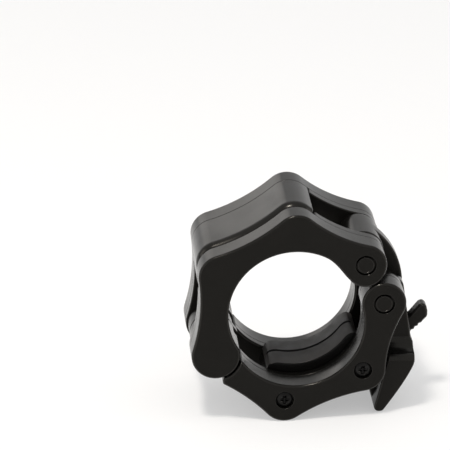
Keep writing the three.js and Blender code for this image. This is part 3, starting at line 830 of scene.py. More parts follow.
def upper_lobes(jaw, less=0.0):
    """Centre and radius of the upper jaw's lobes, which may be less by some length."""
    return [
        (LINK_BOSS, jaw.link_boss - less),
        (polar(BORE, jaw.lobe_pitch, math.degrees(jaw.apex)), jaw.lobe_radius - less),
        (polar(BORE, jaw.lobe_pitch, math.degrees(jaw.corner)), jaw.lobe_radius - less),
        (HINGE, jaw.hinge_lobe - less),
    ]


def lower_lobes(jaw):
    """Centre and radius of the lower jaw's lobes."""
    return [
        (HINGE, jaw.hinge_lobe),
        (FOOT_SCREW, jaw.lobe_radius),
        (TAB_SCREW, jaw.lobe_radius),
        (LEVER_BOSS, jaw.lever_boss),
    ]


def filled(loop, jaw, centre):
    """The upper jaw's outline: its bore comes in a little and runs straight to the drop-shaped boss."""
    near, far = math.degrees(jaw.run_start), math.degrees(jaw.fill_start)
    turns = [far + (near - far) * i / RUN_STEPS for i in range(RUN_STEPS + 1)]
    fills = [jaw.bore_fill * (1 - smooth(turn, near, far)) for turn in turns]
    run = [polar(centre, jaw.bore_radius - fill, turn) for fill, turn in zip(fills, turns)]
    lean = math.degrees(math.acos(jaw.link_boss / (run[-1] - LINK_BOSS).length))
    towards = direction(LINK_BOSS, run[-1])
    touches = [polar(LINK_BOSS, jaw.link_boss, towards + side * lean) for side in (-1, 1)]
    touch = min(touches, key=lambda p: (p - BORE).length)
    inward = direction(LINK_BOSS, BORE)
    limit = after(direction(LINK_BOSS, touch), inward)
    first = next(i for i, p in enumerate(loop) if after(direction(LINK_BOSS, p), inward) > limit)
    kept = [p for p in loop[first:] if abs((p - centre).length - jaw.bore_radius) > WELD
            or not BORE_BOTTOM < direction(centre, p) < far]
    return [dropped(p, jaw) for p in [touch, *kept, *run]]


def dropped(point, jaw):
    """A point of the link boss, moved down where it lies under the pin."""
    below = LINK_BOSS.y - point.y
    if (point - LINK_BOSS).length > jaw.link_boss + WELD or below < 0:
        return point
    return point - Vector((0, below * jaw.boss_drop / jaw.link_boss))


def bore_centre(jaw, side):
    """Centre of a jaw's bore: side 1 is the upper jaw and -1 the lower one."""
    return BORE + Vector((-side * jaw.bore_shift, side * jaw.bore_spread))


def span(side, one, other):
    """Front and back of a form on one side of the middle."""
    return sorted((side * one, side * other))


def liner(shell, pins, centre, shaft, recess, front, back):
    """Floor of a recess, round the hole behind it."""
    shell.tube(centre, shaft + pins.clearance, recess + LAP, front, back, NEST)


class COLLAR_OT_upper_frame(bpy.types.Operator):
    """Make the upper jaw's frame: two lobed plates and the band between them"""

    bl_idname = "collar.upper_frame"
    bl_label = "Upper Frame"

    def execute(self, context):
        jaw, pins = context.scene.collar_jaw, context.scene.collar_pins
        centre = bore_centre(jaw, 1)
        whole = lobed(upper_lobes(jaw), jaw.valley_sag)
        bitten = filled(bite(whole, centre, jaw.bore_radius), jaw, centre)
        plate = soften(bitten, jaw.rim * PLATE_ROUNDING)
        start, end = math.degrees(jaw.band_start), math.degrees(jaw.band_end)
        foot = context.scene.collar_pads.seat + pins.clearance
        groove_front = -HALF_WIDTH + jaw.cover
        band_front = groove_front + jaw.groove
        recess, hinge_recess = hole(LINK_BOSS, pins.recess), hole(HINGE, pins.recess)
        deep = HALF_WIDTH - jaw.rim * 2
        shell = Shell()
        shell.slab(plate, -HALF_WIDTH, groove_front, jaw.rim, jaw.rim / 2, [recess], jaw.recess_rim)
        shell.slab(plate, jaw.parting, HALF_WIDTH, jaw.seam, jaw.rim, [recess, hinge_recess], jaw.recess_rim)
        # Beside the band, at the window and at the hinge, the plates are thicker.
        for part in (cut(bitten, start, -1), cut(bitten, end, 1)):
            block = soften(part, jaw.rim)
            shell.slab(block, groove_front - jaw.seam, -jaw.inner_half, jaw.seam, jaw.rim / 2)
            shell.slab(inset(block, NEST), jaw.inner_half, deep, jaw.rim / 2, NEST)
        band = cut(cut(bite(whole, centre, foot), start, 1), end, -1)
        shell.slab(soften(band, jaw.rim), band_front, jaw.parting, jaw.band_rim, jaw.seam, steps=BAND_STEPS)
        # The floor of the groove, and the skin behind the parting line.
        for less, reach, front, back in (
            (jaw.groove_depth, foot, groove_front - jaw.rim, band_front + jaw.band_rim),
            (jaw.rim, jaw.bore_radius, jaw.inner_half, jaw.parting + jaw.seam * 2),
        ):
            floor = bite(lobed(upper_lobes(jaw, less), jaw.valley_sag), centre, reach)
            shell.slab(cut(cut(floor, start, 1), end, -1), front, back, NEST, NEST)
        floors = [span(side, jaw.inner_half + NEST, HALF_WIDTH - pins.recess_depth) for side in (-1, 1)]
        for spot, ends in ((LINK_BOSS, floors[0]), (LINK_BOSS, floors[1]), (HINGE, floors[1])):
            liner(shell, pins, spot, pins.radius, pins.recess, *ends)
        make_piece("upper_frame_shell", shell, "upper_jaw", "upper_frame")
        return {"FINISHED"}


class COLLAR_OT_lower_frames(bpy.types.Operator):
    """Make the lower jaw's two plates, each with its half of the hinge knuckle"""

    bl_idname = "collar.lower_frames"
    bl_label = "Lower Frames"

    def execute(self, context):
        jaw, pins = context.scene.collar_jaw, context.scene.collar_pins
        centre = bore_centre(jaw, -1)
        whole = lobed(lower_lobes(jaw), jaw.valley_sag)
        hinge_room = jaw.hinge_lobe + jaw.hinge_gap
        plate = bite(bite(whole, centre, jaw.bore_radius), HINGE, hinge_room)
        plate = soften(plate, jaw.rim * PLATE_ROUNDING, spur=TIP_ROUNDING)
        for side, name in ((-1, "front"), (1, "back")):
            shell = Shell()
            # Round screw heads in the front, and hexagon nuts in the back.
            holes = [hole(spot, pins.screw_recess, PIN_SIDES if side < 0 else NUT_CORNERS) for spot in SCREWS]
            if side > 0:
                holes = [soften(loop, pins.clearance) for loop in holes]
            holes.append(hole(LEVER_BOSS, pins.recess))
            front, back = span(side, HALF_WIDTH, jaw.inner_half)
            middle = side * jaw.parting
            shell.slab(plate, front, middle, jaw.rim, jaw.seam, holes, jaw.recess_rim)
            shell.slab(plate, middle, back, jaw.seam, jaw.rim, holes, jaw.recess_rim)
            seats = span(side, HALF_WIDTH - pins.screw_seat, jaw.inner_half + NEST)
            for spot in SCREWS:
                liner(shell, pins, spot, pins.screw_shaft, pins.screw_recess, *seats)
            floors = span(side, HALF_WIDTH - pins.recess_depth, jaw.inner_half + NEST)
            liner(shell, pins, LEVER_BOSS, pins.radius, pins.recess, *floors)
            # The tongue that carries the knuckle, its root between the plates, and the knuckle.
            step, end = (jaw.tongue_step, jaw.tongue_end) if side < 0 else (NEST, jaw.back_tongue_end)
            tongue = cut(bite(inset(whole, jaw.rim), centre, jaw.bore_radius + step), math.degrees(end), -1)
            ends = span(side, FORK_HALF + NEST, FORK_HALF - jaw.tongue)
            shell.slab(soften(tongue, jaw.rim), *ends, jaw.rim / 2, jaw.rim / 2)
            root = soften(bite(tongue, HINGE, hinge_room), jaw.rim)
            shell.slab(root, *span(side, jaw.inner_half + jaw.rim, FORK_HALF - jaw.rim), NEST, NEST)
            ends = span(side, FORK_HALF, pins.clearance / 2)
            inner = pins.radius + pins.clearance
            shell.tube(HINGE, inner, jaw.knuckle, *ends, jaw.rim / 2, HUB_SIDES, steps=4)
            make_piece(f"lower_plate_{name}", shell, "lower_jaw", f"lower_frame_{name}")
        return {"FINISHED"}


# Pads

# Places across half of the groove, as shares of its width.
# The groove's floor ends at the first and its wall at the third.
GROOVE_SHARES = (0.28, 0.45, 0.62, 0.9)
# Further places across half of the pad, as shares of its half width.
PAD_SHARES = (0.3, 0.6)
# Steps of the pad's edges, of its length and of each rolled end.
EDGE_STEPS = 5
PAD_STEPS = 120
ROLL_STEPS = 9
# Gap between the pad's back and its seat.
SEAT_GAP = 0.0003


def rounding(share):
    """How far a quarter round falls at a share of the way to its end."""
    return 1 - math.sqrt(max(0, 1 - share * share))


def pad_shell(pads, centre, start, end):
    """A rubber block along the bore with a crown that rolls off at its ends and a groove along its middle."""
    half, edge = PAD_HALF, pads.edge
    middle = math.radians((start + end) / 2)
    offset = pads.crown + pads.thickness - pads.seat
    places = [half - edge * (1 - math.cos(turn)) for turn in quarter(EDGE_STEPS)]
    places += [pads.groove_width * share for share in GROOVE_SHARES] + [half * share for share in PAD_SHARES]
    columns = sorted({0.0, *places, *(-y for y in places)})
    floor_end, wall_end = pads.groove_width * GROOVE_SHARES[0], pads.groove_width * GROOVE_SHARES[2]
    margin = math.degrees(pads.end_roll / pads.seat)
    turns = [start + (end - start) * (i / PAD_STEPS) for i in range(PAD_STEPS + 1)]
    rolls = [margin * i * i / ROLL_STEPS**2 for i in range(1, ROLL_STEPS)]
    turns += [start + roll for roll in rolls] + [end - roll for roll in rolls]
    rings = []
    for turn in sorted(turns):
        lean = math.radians(turn) - middle
        seat = rim_reach(centre, pads.seat - SEAT_GAP, turn)
        crown = -offset * math.cos(lean) + math.sqrt(pads.crown**2 - (offset * math.sin(lean)) ** 2)
        near_end = min(turn - start, end - turn) / margin
        end_drop = pads.end_drop * rounding(1 - min(1, near_end))
        section = []
        for y in columns:
            drop = edge * rounding(max(0, abs(y) - (half - edge)) / edge)
            groove = pads.groove_depth * (1 - smooth(abs(y), floor_end, wall_end))
            fall = pads.front_fall * max(0, -y) / half
            section.append((y, min(seat - edge / 4, crown + drop + groove + fall + end_drop)))
        chamfer = edge / 3
        low = seat - chamfer
        section += [(half, low), (half - chamfer, seat), (-half + chamfer, seat), (-half, low)]
        points = [(polar(BORE, radius, turn), y) for y, radius in section]
        rings.append([(point.x, y, point.y) for point, y in points])
    shell = Shell()
    made = shell.skin(rings)
    shell.faces += [tuple(made[0]), tuple(made[-1][::-1])]
    return shell


def rim_reach(centre, radius, degrees):
    """Distance from the bore's axis to a circle round another centre, along a ray."""
    offset = centre - BORE
    along = offset.dot(polar(ORIGIN, 1, degrees))
    return along + math.sqrt(radius**2 - offset.length_squared + along**2)


class COLLAR_OT_pads(bpy.types.Operator):
    """Make the two rubber pads"""

    bl_idname = "collar.pads"
    bl_label = "Pads"

    def execute(self, context):
        jaw, pads = context.scene.collar_jaw, context.scene.collar_pads
        places = (
            ("lower", -1, pads.lower_start, pads.lower_end),
            ("upper", 1, pads.upper_start, pads.upper_end),
        )
        for name, side, start, end in places:
            shell = pad_shell(pads, bore_centre(jaw, side), math.degrees(start), math.degrees(end))
            make_piece(f"{name}_pad_block", shell, f"{name}_jaw", f"{name}_pad", "pad_rubber")
        return {"FINISHED"}


# Lever, link and pins

# Side view of the lever, as shares of its reach.
FORK_INNER_SHARES = ((0, -0.155), (0.19, -0.084), (0.42, -0.025), (0.88, -0.052))
LEVER_BACK_SHARES = ((-0.063, 0.186), (0.42, 0.268), (0.452, 0.284), (0.567, 0.284))
BACK_SWELL_SHARES = (0.71, 0.234)
# Height of the tip's centre as a share of its radius, and where the back meets the tip's roll.
TIP_RISE_SHARE = 0.3
TIP_ROLL = 60
# Share of the pitch that a rib takes, and of the paddle's height that an edge may take.
RIB_WIDTH_SHARE = 0.86
EDGE_HEIGHT_SHARE = 0.42
# Start and end of the fork's root under and over the pivot, and of the keel's tip, in degrees.
ROOT_UNDER = (200, 262)
ROOT_OVER = (140, 178)
KEEL_TIP = (270, 350)
# Degrees between the points of small arcs, of the keel's tip and of the link's inner face.
SMALL_STEP = 6.0
KEEL_STEP = 10.0
INNER_STEP = 2.0
# How far the slot's second row of points lies out, as a share of the slot.
SLOT_MARGIN = 1.1
# Length and height of the lip that the tab's teeth catch.
LIP_LENGTH = 0.0018
LIP_HEIGHT = 0.0032
# Steps of the paddle's back, flare, length and corner.
BACK_STEPS = 60
FLARE_STEPS = 12
PADDLE_STEPS = 30
CORNER_STEPS = 24
# Where the link's eye begins, past the line to the lever's pin, and the play of the link's hub.
EYE_TURN = 55
HUB_PLAY = 0.0014
HUB_ROUNDING = 1.4
# A cap's dish: its radius as a share of the head's, its depth and the width of its wall.
DISH_SHARE = 0.86
DISH_DEPTH = 0.00012
DISH_WALL = 0.0001


def lever_axes(sizes):
    """Directions along the closed lever and outward from it."""
    lean = math.degrees(sizes.lean)
    return polar(ORIGIN, 1, -lean), polar(ORIGIN, 1, 90 - lean)


def on_lever(sizes, along, outward):
    """A point of the lever's side view, from how far it is along the lever and outward from its line."""
    line, out = lever_axes(sizes)
    return LEVER_BOSS + line * along + out * outward


def from_lever(sizes, point):
    """How far a point of the jaws' plane is along the lever and outward from its line."""
    line, out = lever_axes(sizes)
    return Vector(((point - LEVER_BOSS).dot(line), (point - LEVER_BOSS).dot(out)))


def side_view(sizes, points):
    """Loop of the jaws' plane from points of the lever's side view."""
    return leftward([on_lever(sizes, p.x, p.y) for p in points])


def scaled(sizes, shares):
    """Points of the lever's side view, from shares of its reach."""
    return [Vector((x * sizes.reach, y * sizes.reach)) for x, y in shares]


def tip_centre(sizes):
    """Centre of the lever's round tip in its side view."""
    return Vector((sizes.reach - sizes.tip, sizes.tip * TIP_RISE_SHARE))


def height_at(profile, along):
    """Height of a profile, a row of points with rising first values, at a distance along it."""
    for a, b in zip(profile, profile[1:]):
        if a.x <= along <= b.x:
            return a.y + (b.y - a.y) * ((along - a.x) / max(b.x - a.x, WELD))
    return profile[0].y if along < profile[0].x else profile[-1].y


def paddle_profiles(sizes):
    """Side view of the paddle's back and inner face, and the part of the back that starts at the tip."""
    tip = tip_centre(sizes)
    roll = polar(tip, sizes.tip, TIP_ROLL)
    swell, heel = scaled(sizes, [BACK_SWELL_SHARES, LEVER_BACK_SHARES[-1]])
    curve = [bezier(roll, swell, heel, i / BACK_STEPS) for i in range(BACK_STEPS + 1)]
    nose = arc(tip, sizes.tip, TIP_ROLL, 0, SMALL_STEP)[1:]
    back = scaled(sizes, LEVER_BACK_SHARES[:-1]) + curve[::-1] + nose
    seat = bpy.context.scene.collar_jaw.lobe_radius + sizes.seat_gap
    turn = 90 - math.degrees(sizes.lean) - math.degrees(sizes.slope)
    face = from_lever(sizes, polar(TAB_SCREW, seat, turn))
    run = polar(ORIGIN, 1, -math.degrees(sizes.slope))
    low = tip - Vector((0, sizes.tip))
    middle = face + run * ((low - face).dot(run) / 2)
    inner = [face - run * sizes.reach, middle, low] + arc(tip, sizes.tip, -90, 0, SMALL_STEP)[1:]
    return back, inner, curve


def rib_dip(sizes, curve, along):
    """Depth of the saw-tooth ribs at a place along the lever."""
    run = 0.0
    for a, b in zip(curve, curve[1:]):
        if b.x <= along <= a.x:
            run += (a - b).length * (a.x - along) / (a.x - b.x)
            break
        run += (a - b).length
    else:
        return 0.0
    place = (run - sizes.rib_start) / sizes.rib_pitch
    if not 0 <= place < sizes.ribs:
        return 0.0
    return sizes.rib_depth * max(0.0, 1 - (place % 1) / RIB_WIDTH_SHARE)


def rib_stations(sizes, curve):
    """Places along the lever where the ribs start, stop and turn."""
    marks = []
    for i in range(sizes.ribs + 1):
        base = sizes.rib_start + i * sizes.rib_pitch
        marks += [base - NEST, base + NEST, base - (1 - RIB_WIDTH_SHARE) * sizes.rib_pitch]
    stations = []
    for mark in marks:
        run = 0.0
        for a, b in zip(curve, curve[1:]):
            step = (a - b).length
            if run <= mark < run + step:
                stations.append(a.x + (b.x - a.x) * (mark - run) / step)
            run += step
    return stations


def paddle_half(sizes, along):
    """Half of the paddle's width at a place along the lever."""
    fork = FORK_HALF - NEST
    shoulder = sizes.flare_start + sizes.flare
    if along < shoulder:
        swing = math.asin(min(1, max(0, (along - sizes.flare_start) / sizes.flare)))
        ledge = PADDLE_HALF - sizes.flare_round
        return ledge - (ledge - fork) * math.cos(swing)
    left = shoulder + sizes.flare_round - along
    if left > 0:
        return PADDLE_HALF - sizes.flare_round + math.sqrt(sizes.flare_round**2 - left * left)
    past = along - (sizes.reach - sizes.corner)
    if past > 0:
        return PADDLE_HALF - sizes.corner + math.sqrt(max(0, sizes.corner**2 - past * past))
    return PADDLE_HALF


def paddle_section(sizes, profiles, along):
    """Half of the paddle's cross-section, from the slot's top edge round the side to its bottom edge."""
    back, inner, curve = profiles
    top, bottom = height_at(back, along), height_at(inner, along)
    wide = paddle_half(sizes, along)
    edge = min(sizes.edge, (top - bottom) * EDGE_HEIGHT_SHARE)
    low = top - min(rib_dip(sizes, curve, along), (top - bottom) / 2)
    slot = sizes.slot_half + LAP
    across = [slot, slot * SLOT_MARGIN, (slot + wide) / 2]
    rim = wide - sizes.rib_rim
    points = [(y, low) for y in (*across, rim - HOLD, rim)] + [(rim + HOLD, top), (rim + 3 * HOLD, top)]
    bend = [(edge * math.sin(turn), edge * math.cos(turn)) for turn in quarter(EDGE_STEPS)]
    points += [(wide - edge + out, top - edge + up) for out, up in bend]
    points += [(wide - edge + out, bottom + edge - down) for down, out in bend]
    return points + [(y, bottom) for y in across[::-1]]


def section_points(sizes, along, points, side=1):
    """Points in space of a cross-section of the lever, on one side of its middle."""
    made = []
    for y, outward in points:
        point = on_lever(sizes, along, outward)
        made.append((point.x, side * y, point.y))
    return made


class COLLAR_OT_lever(bpy.types.Operator):
    """Make the lever: fork, ribbed paddle with a slot, keel and catch lip"""

    bl_idname = "collar.lever"
    bl_label = "Lever"

    def execute(self, context):
        sizes, pins = context.scene.collar_lever, context.scene.collar_pins
        shell = Shell()
        self.fork(shell, sizes, pins)
        self.keel(shell, sizes)
        self.lip(shell, sizes)
        self.paddle(shell, sizes)
        make_piece("lever_shell", shell, "lever", "lever")
        return {"FINISHED"}

    def fork(self, shell, sizes, pins):
        inner = scaled(sizes, FORK_INNER_SHARES[:-1])
        back = scaled(sizes, LEVER_BACK_SHARES[:2])
        deep = sizes.slot_end + 2 * sizes.tip
        side = [Vector((-sizes.root, 0)), *arc(ORIGIN, sizes.root, *ROOT_UNDER, SMALL_STEP), *inner,
                Vector((deep, inner[-1].y)), Vector((deep, back[-1].y - sizes.tip)),
                back[-1] + Vector((sizes.tip, -sizes.tip)), back[-1], back[0],
                *arc(ORIGIN, sizes.root, *ROOT_OVER, SMALL_STEP)]
        loop = soften(side_view(sizes, side), sizes.edge * 2)
        holes = [hole(EYE, pins.cross_pin + pins.clearance / 2)]
        for way in (-1, 1):
            ends = span(way, FORK_HALF, sizes.slot_half)
            shell.slab(loop, *ends, sizes.edge, sizes.edge, holes, sizes.edge / 3)

    def keel(self, shell, sizes):
        line = scaled(sizes, FORK_INNER_SHARES[2:])
        start = sizes.slot_end - NEST
        nose = arc(tip_centre(sizes), sizes.tip - NEST, *KEEL_TIP, KEEL_STEP)
        side = [Vector((start, line[0].y)), line[1], *nose, Vector((start, line[0].y + 4 * sizes.tip))]
        shell.slab(soften(side_view(sizes, side), sizes.edge), -FORK_HALF, FORK_HALF, sizes.edge, sizes.edge)

    def lip(self, shell, sizes):
        start, end = sizes.slot_end - LIP_LENGTH, sizes.slot_end + sizes.tip
        top = height_at(paddle_profiles(sizes)[0], start) - NEST
        corners = ((start, top - LIP_HEIGHT), (end, top - LIP_HEIGHT), (end, top - NEST * 4), (start, top))
        half = sizes.slot_half + NEST * 2
        loop = soften(side_view(sizes, [Vector(corner) for corner in corners]), sizes.edge / 2)
        shell.slab(loop, -half, half, NEST, NEST)

    def paddle(self, shell, sizes):
        profiles = paddle_profiles(sizes)
        shoulder, corner = sizes.flare_start + sizes.flare, sizes.reach - sizes.corner
        # Beside the slot the paddle is in two halves.
        early = [sizes.flare_start + sizes.flare * math.sin(turn) for turn in quarter(FLARE_STEPS)]
        early += [shoulder + sizes.flare_round * (1 - math.cos(turn)) for turn in quarter(FLARE_STEPS)[1:]]
        early += [x * sizes.reach for x, _ in LEVER_BACK_SHARES[1:3]]
        early += [sizes.slot_end - HOLD, sizes.slot_end]
        for side in (1, -1):
            rings = []
            for x in sorted(set(early)):
                rings.append(section_points(sizes, x, paddle_section(sizes, profiles, x), side))
            shell.faces.append(tuple(shell.skin(rings)[0]))
        # Beyond it the paddle is whole.
        late = [sizes.slot_end, *rib_stations(sizes, profiles[2])]
        room = corner - sizes.slot_end
        late += [sizes.slot_end + room * i / PADDLE_STEPS for i in range(1, PADDLE_STEPS)]
        late += [sizes.reach - sizes.corner * (1 - math.sin(turn)) for turn in quarter(CORNER_STEPS)[:-1]]
        late += [sizes.reach - HOLD / 4]
        rings = []
        for x in sorted(set(x for x in late if x >= sizes.slot_end)):
            half = paddle_section(sizes, profiles, x)
            right, left = section_points(sizes, x, half), section_points(sizes, x, half, -1)
            top, bottom = (section_points(sizes, x, [(0, height)]) for height in (half[0][1], half[-1][1]))
            rings.append(right + bottom + left[::-1] + top)
        made = shell.skin(rings)
        first, count = made[0], len(right)
        shell.faces.append(tuple(made[-1][::-1]))
        shell.faces.append((first[-1], first[0], first[count - 1], first[count], first[count + 1], first[-2]))


class COLLAR_OT_link(bpy.types.Operator):
    """Make the curved link with its wide hub"""

    bl_idname = "collar.link"
    bl_label = "Link"

    def execute(self, context):
        sizes, pins = context.scene.collar_lever, context.scene.collar_pins
        base = (LINK_BOSS - EYE).length
        to_hub, to_eye = sizes.bow - sizes.hub, sizes.bow - sizes.link_eye
        along = (to_eye**2 - to_hub**2 + base * base) / (2 * base)
        line = (LINK_BOSS - EYE).normalized()
        bow = EYE + line * along + Vector((-line.y, line.x)) * math.sqrt(to_eye**2 - along**2)
        start = direction(bow, EYE)
        loop = arc(bow, sizes.bow, start, after(direction(bow, LINK_BOSS), start), BORE_STEP)
        start = direction(LINK_BOSS, loop[-1])
        loop += arc(LINK_BOSS, sizes.hub, start, after(direction(LINK_BOSS, EYE), start))[1:]
        to_pin = direction(EYE, LEVER_BOSS)
        loop += arc(EYE, sizes.crank + sizes.sweep, direction(EYE, LINK_BOSS), to_pin, INNER_STEP)
        loop += arc(LEVER_BOSS, sizes.sweep, to_pin, to_pin - 180, SMALL_STEP)[1:]
        start = to_pin + EYE_TURN
        loop += arc(EYE, sizes.link_eye, start, after(direction(EYE, bow) + 180, start), SMALL_STEP)
        loop = soften(leftward(clean(loop)), sizes.edge)
        shell = Shell()
        eye_hole = hole(EYE, pins.cross_pin + pins.clearance / 2)
        half, edge = sizes.link_half, sizes.edge
        shell.slab(loop, -half, half, edge, edge, [eye_hole], edge / 3)
        inner, rim = pins.radius + HUB_PLAY, edge * HUB_ROUNDING
        shell.tube(LINK_BOSS, inner, sizes.hub, -FORK_HALF, FORK_HALF, rim, HUB_SIDES, steps=6)
        make_piece("link_shell", shell, "link", "link")
        return {"FINISHED"}


class COLLAR_OT_pins(bpy.types.Operator):
    """Make the three nylon pins, the two caps in the front face and the steel cross pin"""

    bl_idname = "collar.pins"
    bl_label = "Pins"

    def execute(self, context):
        pins = context.scene.collar_pins
        spots = {"link_pin": LINK_BOSS, "lever_pin": LEVER_BOSS, "hinge_pin": HINGE}
        bodies = {"link_pin": "upper_jaw", "lever_pin": "lower_jaw", "hinge_pin": "upper_jaw"}
        for pin, spot in spots.items():
            low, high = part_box(pin)
            under = high.y - pins.head_height
            stem = [(0, low.y), (pins.radius, low.y), (pins.radius, under)]
            profile = [*stem, (pins.head, under), (pins.head, high.y), (0, high.y)]
            self.turned(pins, pin, spot, bodies[pin], profile)
        dish = pins.head * DISH_SHARE
        for pin in ("link_pin", "lever_pin"):
            low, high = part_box(f"{pin}_cap")
            hollow_face = [(0, low.y + DISH_DEPTH), (dish, low.y + DISH_DEPTH), (dish + DISH_WALL, low.y)]
            profile = [*hollow_face, (pins.head, low.y), (pins.head, high.y), (0, high.y)]
            self.turned(pins, f"{pin}_cap", spots[pin], bodies[pin], profile)
        low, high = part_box("lever_cross_pin")
        profile = [(0, low.y), (pins.cross_pin, low.y), (pins.cross_pin, high.y), (0, high.y)]
        shell = Shell()
        shell.lathe(EYE, rounded(profile, pins.clearance, steps=2))
        make_piece("cross_pin_turned", shell, "lever", "lever_cross_pin", "bright_steel")
        return {"FINISHED"}

    def turned(self, pins, node, spot, body, profile):
        """Makes one nylon piece from its profile."""
        shell = Shell()
        shell.lathe(spot, rounded(profile, pins.clearance))
        make_piece(f"{node}_turned", shell, body, node, "pin_nylon")


# Screws and nuts

# The head: steps of its dome, the dome's reach as a share of the head, its rise and how steeply it rises.
DOME_STEPS = 34
DOME_SHARE = 0.97
DOME_RISE = 0.0006
DOME_POWER = 2.4
# Height of the head's edge, height of the head, and the chamfer under it.
HEAD_EDGE = 0.00075
HEAD_HEIGHT = 0.0019
HEAD_CHAMFER = 0.0001
# Depth of the cross recess at its arms' ends as a share of its depth, and softness of its walls.
ARM_FLOOR_SHARE = 0.35
ARM_SOFT_SHARE = 0.35
# Fine ridges at the shaft's end: their number, length and depth, and the tip beyond them.
RIDGES = 12
RIDGE_LENGTH = 0.005
RIDGE_DEPTH = 0.00022
SCREW_TIP = 0.0002
# The nut: radius of its chamfer and of its flat face as shares, and heights of its chamfers.
CHAMFER_SHARE = 0.94
FACE_SHARE = 0.92
NUT_EDGE = 0.0002
NUT_CHAMFER = 0.0006
WIRE_SIDES = 12


def bar(x, z, long_half, half):
    """1 inside one arm of the cross recess and 0 outside it, with soft sides."""
    soft = half * ARM_SOFT_SHARE
    return (1 - smooth(abs(x), long_half - soft, long_half)) * (1 - smooth(abs(z), half - soft, half + soft))


def screw_model(pins):
    """Domed screw along Y with a soft cross recess: its head's top lies at the origin."""
    head, arm, half = pins.screw_head, pins.cross_length / 2, pins.cross_width / 2
    rings = []
    for i in range(DOME_STEPS + 1):
        radius = head * DOME_SHARE * i / DOME_STEPS
        rise = DOME_RISE * (radius / head) ** DOME_POWER
        depth = pins.cross_depth * (ARM_FLOOR_SHARE + (1 - ARM_FLOOR_SHARE) * (1 - smooth(radius, 0, arm)))
        ring = []
        for x, _, z in circle(ORIGIN, radius, 0, SCREW_SIDES):
            ring.append((x, rise + depth * max(bar(x, z, arm, half), bar(z, x, arm, half)), z))
        rings.append(ring)
    shaft, end = pins.screw_shaft, 2 * HALF_WIDTH - pins.screw_drop - SCREW_TIP
    profile = [(head, HEAD_EDGE), (head, HEAD_HEIGHT - HEAD_CHAMFER), (head - HEAD_CHAMFER, HEAD_HEIGHT),
               (shaft, HEAD_HEIGHT)]
    for i in range(RIDGES * 2):
        depth = end - RIDGE_LENGTH - SCREW_TIP + RIDGE_LENGTH * i / (RIDGES * 2)
        profile.append((shaft - (RIDGE_DEPTH if i % 2 else 0), depth))
    rings += [circle(ORIGIN, radius, depth, SCREW_SIDES) for radius, depth in [*profile, (0, end)]]
    shell = Shell()
    shell.skin(rings)
    return placed("screw_model", solid_mesh("screw_model", shell))


def nut_model(pins):
    """Hexagon nut along Y with chamfered corners: its outer face lies at the origin."""
    side = math.tau / NUT_CORNERS
    flat = pins.nut * math.cos(side / 2)
    inner, chamfer, height = pins.screw_shaft + pins.clearance / 2, pins.nut * CHAMFER_SHARE, pins.nut_height
    profile = [(inner, NUT_EDGE), (inner + NUT_EDGE, 0), (chamfer * FACE_SHARE, 0), (chamfer, NUT_EDGE),
               (pins.nut, NUT_CHAMFER), (pins.nut, height - NUT_EDGE), (chamfer, height), (inner, height)]
    turns = [math.tau * i / SCREW_SIDES for i in range(SCREW_SIDES)]
    reaches = [flat / math.cos(turn % side - side / 2) for turn in turns]
    shell = Shell()
    rings = []
    for radius, depth in profile:
        spokes = [(turn, min(radius, reach)) for turn, reach in zip(turns, reaches)]
        rings.append([(reach * math.cos(turn), -depth, reach * math.sin(turn)) for turn, reach in spokes])
    shell.skin(rings, closed=True)
    return placed("nut_model", solid_mesh("nut_model", shell))


class Growth(Nodes):
    """A Geometry Nodes tree with named inputs beside its geometry."""

    def __init__(self, name, inputs):
        super().__init__(bpy.data.node_groups.new(name, "GeometryNodeTree"))
        sockets = self.tree.interface
        sockets.new_socket("Geometry", in_out="INPUT", socket_type="NodeSocketGeometry")
        self.keys = {}
        for label, kind in inputs.items():
            self.keys[label] = sockets.new_socket(label, in_out="INPUT", socket_type=kind).identifier
        sockets.new_socket("Geometry", in_out="OUTPUT", socket_type="NodeSocketGeometry")
        self.given = self.add("NodeGroupInput").outputs

    def close(self, grown, slot):
        """Ends the tree with real geometry in a slot's finish."""
        real = self.add("GeometryNodeRealizeInstances", {"Geometry": grown})
        inputs = {"Geometry": real.outputs["Geometry"], "Material": finish(FINISHES[slot])}
        painted = self.add("GeometryNodeSetMaterial", inputs)
        self.add("NodeGroupOutput", {"Geometry": painted.outputs["Geometry"]})

    def bake(self, name, points, edges, values):
        """Plain mesh that the tree makes from points and edges."""
        mesh = bpy.data.meshes.new(name)
        mesh.from_pydata(points, edges, [])
        source = placed(f"{name}_source", mesh)
        modifier = source.modifiers.new("growth", "NODES")
        modifier.node_group = self.tree
        for label, value in values.items():
            modifier[self.keys[label]] = value
        bpy.context.view_layer.update()
        graph = bpy.context.evaluated_depsgraph_get()
        baked = bpy.data.meshes.new_from_object(source.evaluated_get(graph))
        source.modifiers.clear()
        bpy.data.objects.remove(source)
        return baked


def copies(name, depth, model, nodes):
    """Makes one blackened steel piece with a copy of a model at each screw, at a depth."""
    tree = Growth(f"{name}_tree", {"Model": "NodeSocketObject", "Size": "NodeSocketFloat"})
    info = tree.add("GeometryNodeObjectInfo", {"Object": tree.given["Model"]})
    points = tree.add("GeometryNodeMeshToPoints", {"Mesh": tree.given["Geometry"]})
    inputs = {
        "Points": points.outputs["Points"],
        "Instance": info.outputs["Geometry"],
        "Scale": tree.given["Size"],
    }
    tree.close(tree.add("GeometryNodeInstanceOnPoints", inputs).outputs["Instances"], "black_steel")
    places = [(spot.x, depth, spot.y) for spot in SCREWS]
    mesh = tree.bake(name, places, [], {"Model": model, "Size": 1.0})
    bpy.data.objects.remove(model)
    dress(name, mesh, "lower_jaw", nodes, "black_steel")


